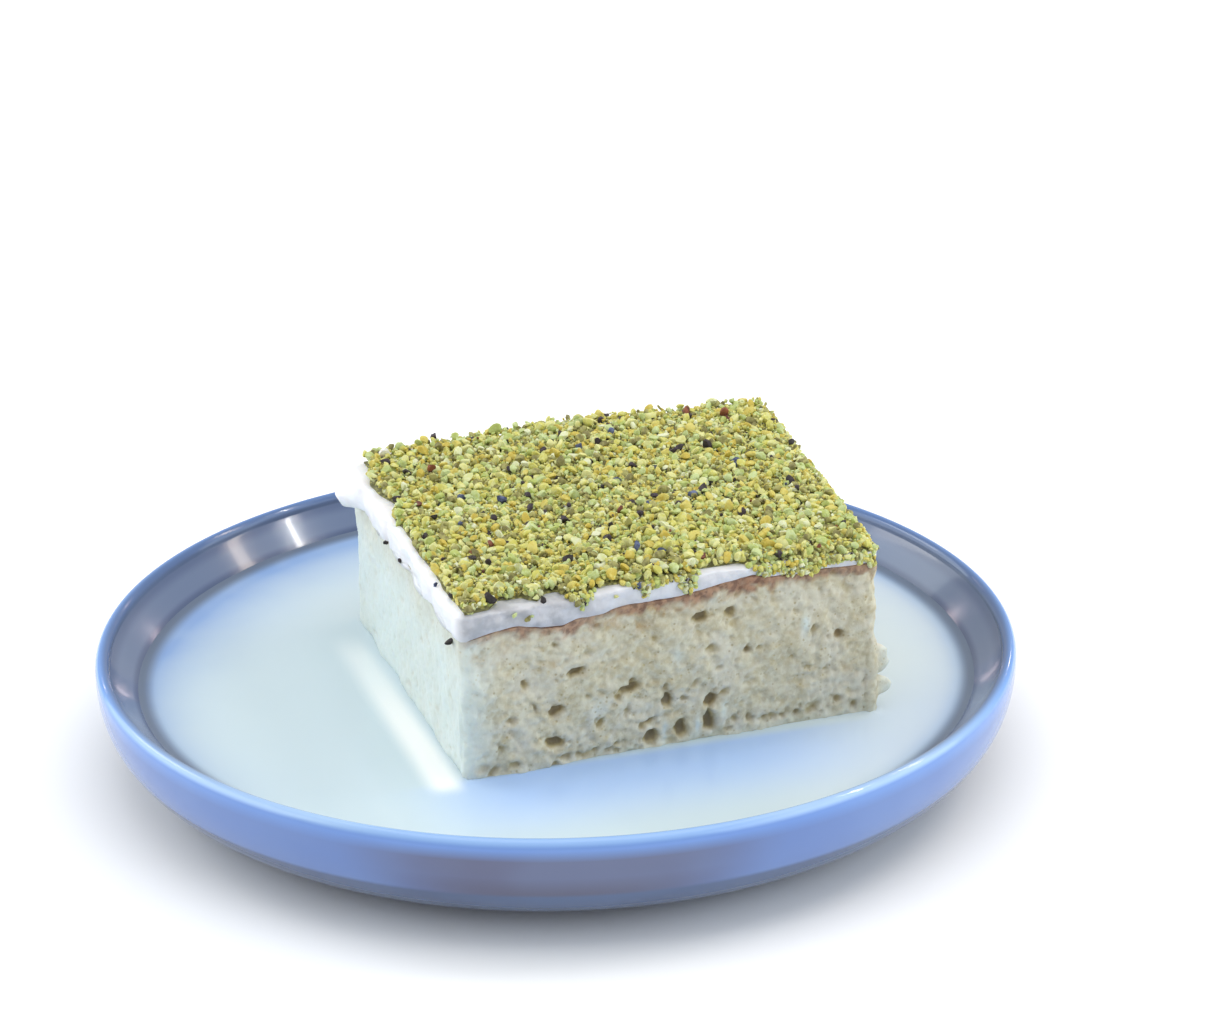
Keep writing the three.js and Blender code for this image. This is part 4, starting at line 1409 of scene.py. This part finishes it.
CAMERA_PLACE = (-0.003428, -0.731143, 0.351122)
CAMERA_LENS = 125.385
CAMERA_AXES = (
    (0.99965452, -0.02284422, -0.01299911),
    (0.02077336, 0.38368616, 0.92322987),
    (-0.01610289, -0.92318095, 0.38402816),
)
LIGHTS_AIM = (0, 0, 0.02)
FLOOR_REACH = 4.0

# Soft lights: name, place, width and height in metres, and tint
SOFT_LIGHTS = (
    ("key", (-0.9, 0.15, 0.40), (1.4, 0.8), (0.88, 0.96, 1.0)),
    ("fill", (0.9, -0.3, 0.37), (1.4, 0.7), (0.82, 0.93, 1.0)),
    ("top", (0.0, 0.0, 1.1), (1.0, 1.0), (1.0, 1.0, 1.0)),
)

# Small lights that the inside of the dish mirrors: name, turn from the right and rise in
# degrees, width and height in metres, brightness, and tint
GLINTS = (
    ("glint_window", 30, 44.0, (0.05, 0.45), 13.0, (1.0, 0.84, 0.68)),
    ("glint_streak", 12, 51.0, (0.012, 0.32), 90.0, (1.0, 0.97, 0.92)),
    ("glint_left", 60, 22.0, (0.03, 0.04), 45.0, (1.0, 0.80, 0.80)),
    ("glint_right", 121, 23.0, (0.03, 0.04), 30.0, (1.0, 0.80, 0.80)),
    ("glint_back", 150, 33.0, (0.34, 0.20), 3.0, (1.0, 0.96, 0.90)),
)


def from_middle(turn, rise):
    """A place one metre from the middle, by its turn from the right and its rise."""
    turn, rise = math.radians(turn), math.radians(rise)
    return math.cos(rise) * math.cos(turn), math.cos(rise) * math.sin(turn), math.sin(rise)


def upright_mirrored(place):
    """The turn of a light whose height the dish's wall mirrors as an upright stripe."""
    back = Vector(place).normalized()
    half = (back + Vector(CAMERA_PLACE).normalized()).normalized()
    up = (Vector((0, 0, 1)) - half * (back.z / half.dot(back))).normalized()
    return Matrix((up.cross(back), up, back)).transposed().to_euler()


def area_light(name, place, size, power, tint):
    light = bpy.data.lights.new(name, "AREA")
    light.shape = "RECTANGLE"
    light.size, light.size_y = size
    light.energy = power
    light.color = tint
    holder = bpy.data.objects.new(name, light)
    holder.location = place
    aim = Vector(LIGHTS_AIM) - Vector(place)
    holder.rotation_euler = aim.to_track_quat("-Z", "Y").to_euler()
    bpy.context.scene.collection.objects.link(holder)
    return holder


# Operators

class DESSERT_OT_dish(bpy.types.Operator):
    """Adds the round glazed dish"""

    bl_idname = "dessert.dish"
    bl_label = "Dish"

    def execute(self, context):
        settings = context.scene.dessert.dish
        shape = dish_shape(settings.segments)
        new_piece("glazed_dish", shape, "dish", glaze_finish(settings))
        return {"FINISHED"}


class DESSERT_OT_milk(bpy.types.Operator):
    """Adds the pool of milk"""

    bl_idname = "dessert.milk"
    bl_label = "Milk"

    def execute(self, context):
        settings = context.scene.dessert.milk
        shape = milk_shape(settings.meniscus / MM)
        new_piece("milk_pool", shape, "milk", milk_finish(settings))
        return {"FINISHED"}


class DESSERT_OT_sponge(bpy.types.Operator):
    """Adds the soaked sponge with its open crumb"""

    bl_idname = "dessert.sponge"
    bl_label = "Sponge"

    def execute(self, context):
        settings = context.scene.dessert.sponge
        shape = sponge_shape(settings)
        new_piece("soaked_sponge", shape, "sponge", crumb_finish(settings))
        return {"FINISHED"}


class DESSERT_OT_cream(bpy.types.Operator):
    """Adds the whipped cream"""

    bl_idname = "dessert.cream"
    bl_label = "Whipped cream"

    def execute(self, context):
        finish = cream_finish(context.scene.dessert.cream)
        new_piece("cream_layer", cream_shape(), "whipped_cream", finish)
        return {"FINISHED"}


class DESSERT_OT_pistachio(bpy.types.Operator):
    """Adds the crushed pistachio, one piece for each kind of crumb"""

    bl_idname = "dessert.pistachio"
    bl_label = "Crushed pistachio"

    def execute(self, context):
        settings = context.scene.dessert.coat
        bed = bed_finish(settings)
        new_piece("pistachio_bed", bed_shape(), "pistachio_coat", bed)
        coat = Coat(settings)
        coat.strew(*scattered(coat.rng, settings.coarse), 0.0, 1.0)
        coat.strew(*scattered(coat.rng, settings.coarse // 4), 0.75, 1.1)
        coat.strew(*scattered(coat.rng, settings.fine), 0.35, 0.5)
        coat.spill(Outline(SPILL_SPACING))
        coat.mark()
        for kind, dull in zip(coat.kinds, coat.dull_tones):
            name = f"pistachio_{kind}"
            finish = nut_finish(name, dull, getattr(settings, kind))
            new_piece(name, coat.crumbs(kind), "pistachio_coat", finish, CRUMB_EDGE)
        return {"FINISHED"}


class DESSERT_OT_stage(bpy.types.Operator):
    """Adds the floor, the lights and the camera"""

    bl_idname = "dessert.stage"
    bl_label = "Stage"

    def execute(self, context):
        settings = context.scene.dessert.stage
        scene = context.scene
        mesh = bpy.data.meshes.new("floor")
        corners = ((-1, -1), (1, -1), (1, 1), (-1, 1))
        corners = [(x * FLOOR_REACH, y * FLOOR_REACH, 0) for x, y in corners]
        mesh.from_pydata(corners, [], [(0, 1, 2, 3)])
        paint = Finish("floor")
        paint.surface(Base_Color=settings.floor_colour, Roughness=0.9, Specular_IOR_Level=0.1)
        mesh.materials.append(paint.material)
        floor = bpy.data.objects.new("floor", mesh)
        scene.collection.objects.link(floor)

        for name, place, size, tint in SOFT_LIGHTS:
            area_light(name, place, size, getattr(settings, f"{name}_power"), tint)
        for name, turn, rise, size, glow, tint in GLINTS:
            place = from_middle(turn, rise)
            light = area_light(name, place, size, glow * math.pi * size[0] * size[1], tint)
            light.rotation_euler = upright_mirrored(place)
        world = bpy.data.worlds.new("studio")
        world.use_nodes = True
        sky = world.node_tree.nodes["Background"]
        sky.inputs["Color"].default_value = (1.0, 1.0, 1.0, 1.0)
        sky.inputs["Strength"].default_value = settings.sky
        scene.world = world
        scene.view_settings.view_transform = "Standard"

        lens = bpy.data.cameras.new("camera")
        lens.sensor_width = 36.0
        lens.lens = CAMERA_LENS
        lens.clip_end = 20.0
        camera = bpy.data.objects.new("camera", lens)
        turn = Matrix(CAMERA_AXES).transposed().to_4x4()
        camera.matrix_world = Matrix.Translation(CAMERA_PLACE) @ turn
        scene.collection.objects.link(camera)
        scene.camera = camera
        return {"FINISHED"}


class VIEW3D_PT_dessert(bpy.types.Panel):
    """Lists the steps and settings of the dessert"""

    bl_label = "Tres Leches Cake"
    bl_space_type = "VIEW_3D"
    bl_region_type = "UI"
    bl_category = "Dessert"

    def draw(self, context):
        dessert = context.scene.dessert
        for name, operator in STEPS:
            self.layout.operator(operator.bl_idname)
            box = self.layout.box()
            settings = getattr(dessert, name)
            for field in settings.__annotations__:
                box.prop(settings, field)


STEPS = (
    ("dish", DESSERT_OT_dish),
    ("milk", DESSERT_OT_milk),
    ("sponge", DESSERT_OT_sponge),
    ("cream", DESSERT_OT_cream),
    ("coat", DESSERT_OT_pistachio),
    ("stage", DESSERT_OT_stage),
)

CLASSES = (
    DishSettings,
    MilkSettings,
    SpongeSettings,
    CreamSettings,
    CoatSettings,
    StageSettings,
    DessertSettings,
    *(operator for _, operator in STEPS),
    VIEW3D_PT_dessert,
)


def register():
    for cls in CLASSES:
        bpy.utils.register_class(cls)
    bpy.types.Scene.dessert = PointerProperty(type=DessertSettings)


def unregister():
    del bpy.types.Scene.dessert
    for cls in reversed(CLASSES):
        bpy.utils.unregister_class(cls)


def main():
    register()
    for _, operator in STEPS:
        getattr(bpy.ops.dessert, operator.bl_idname.split(".")[1])()


if __name__ == "__main__":
    main()
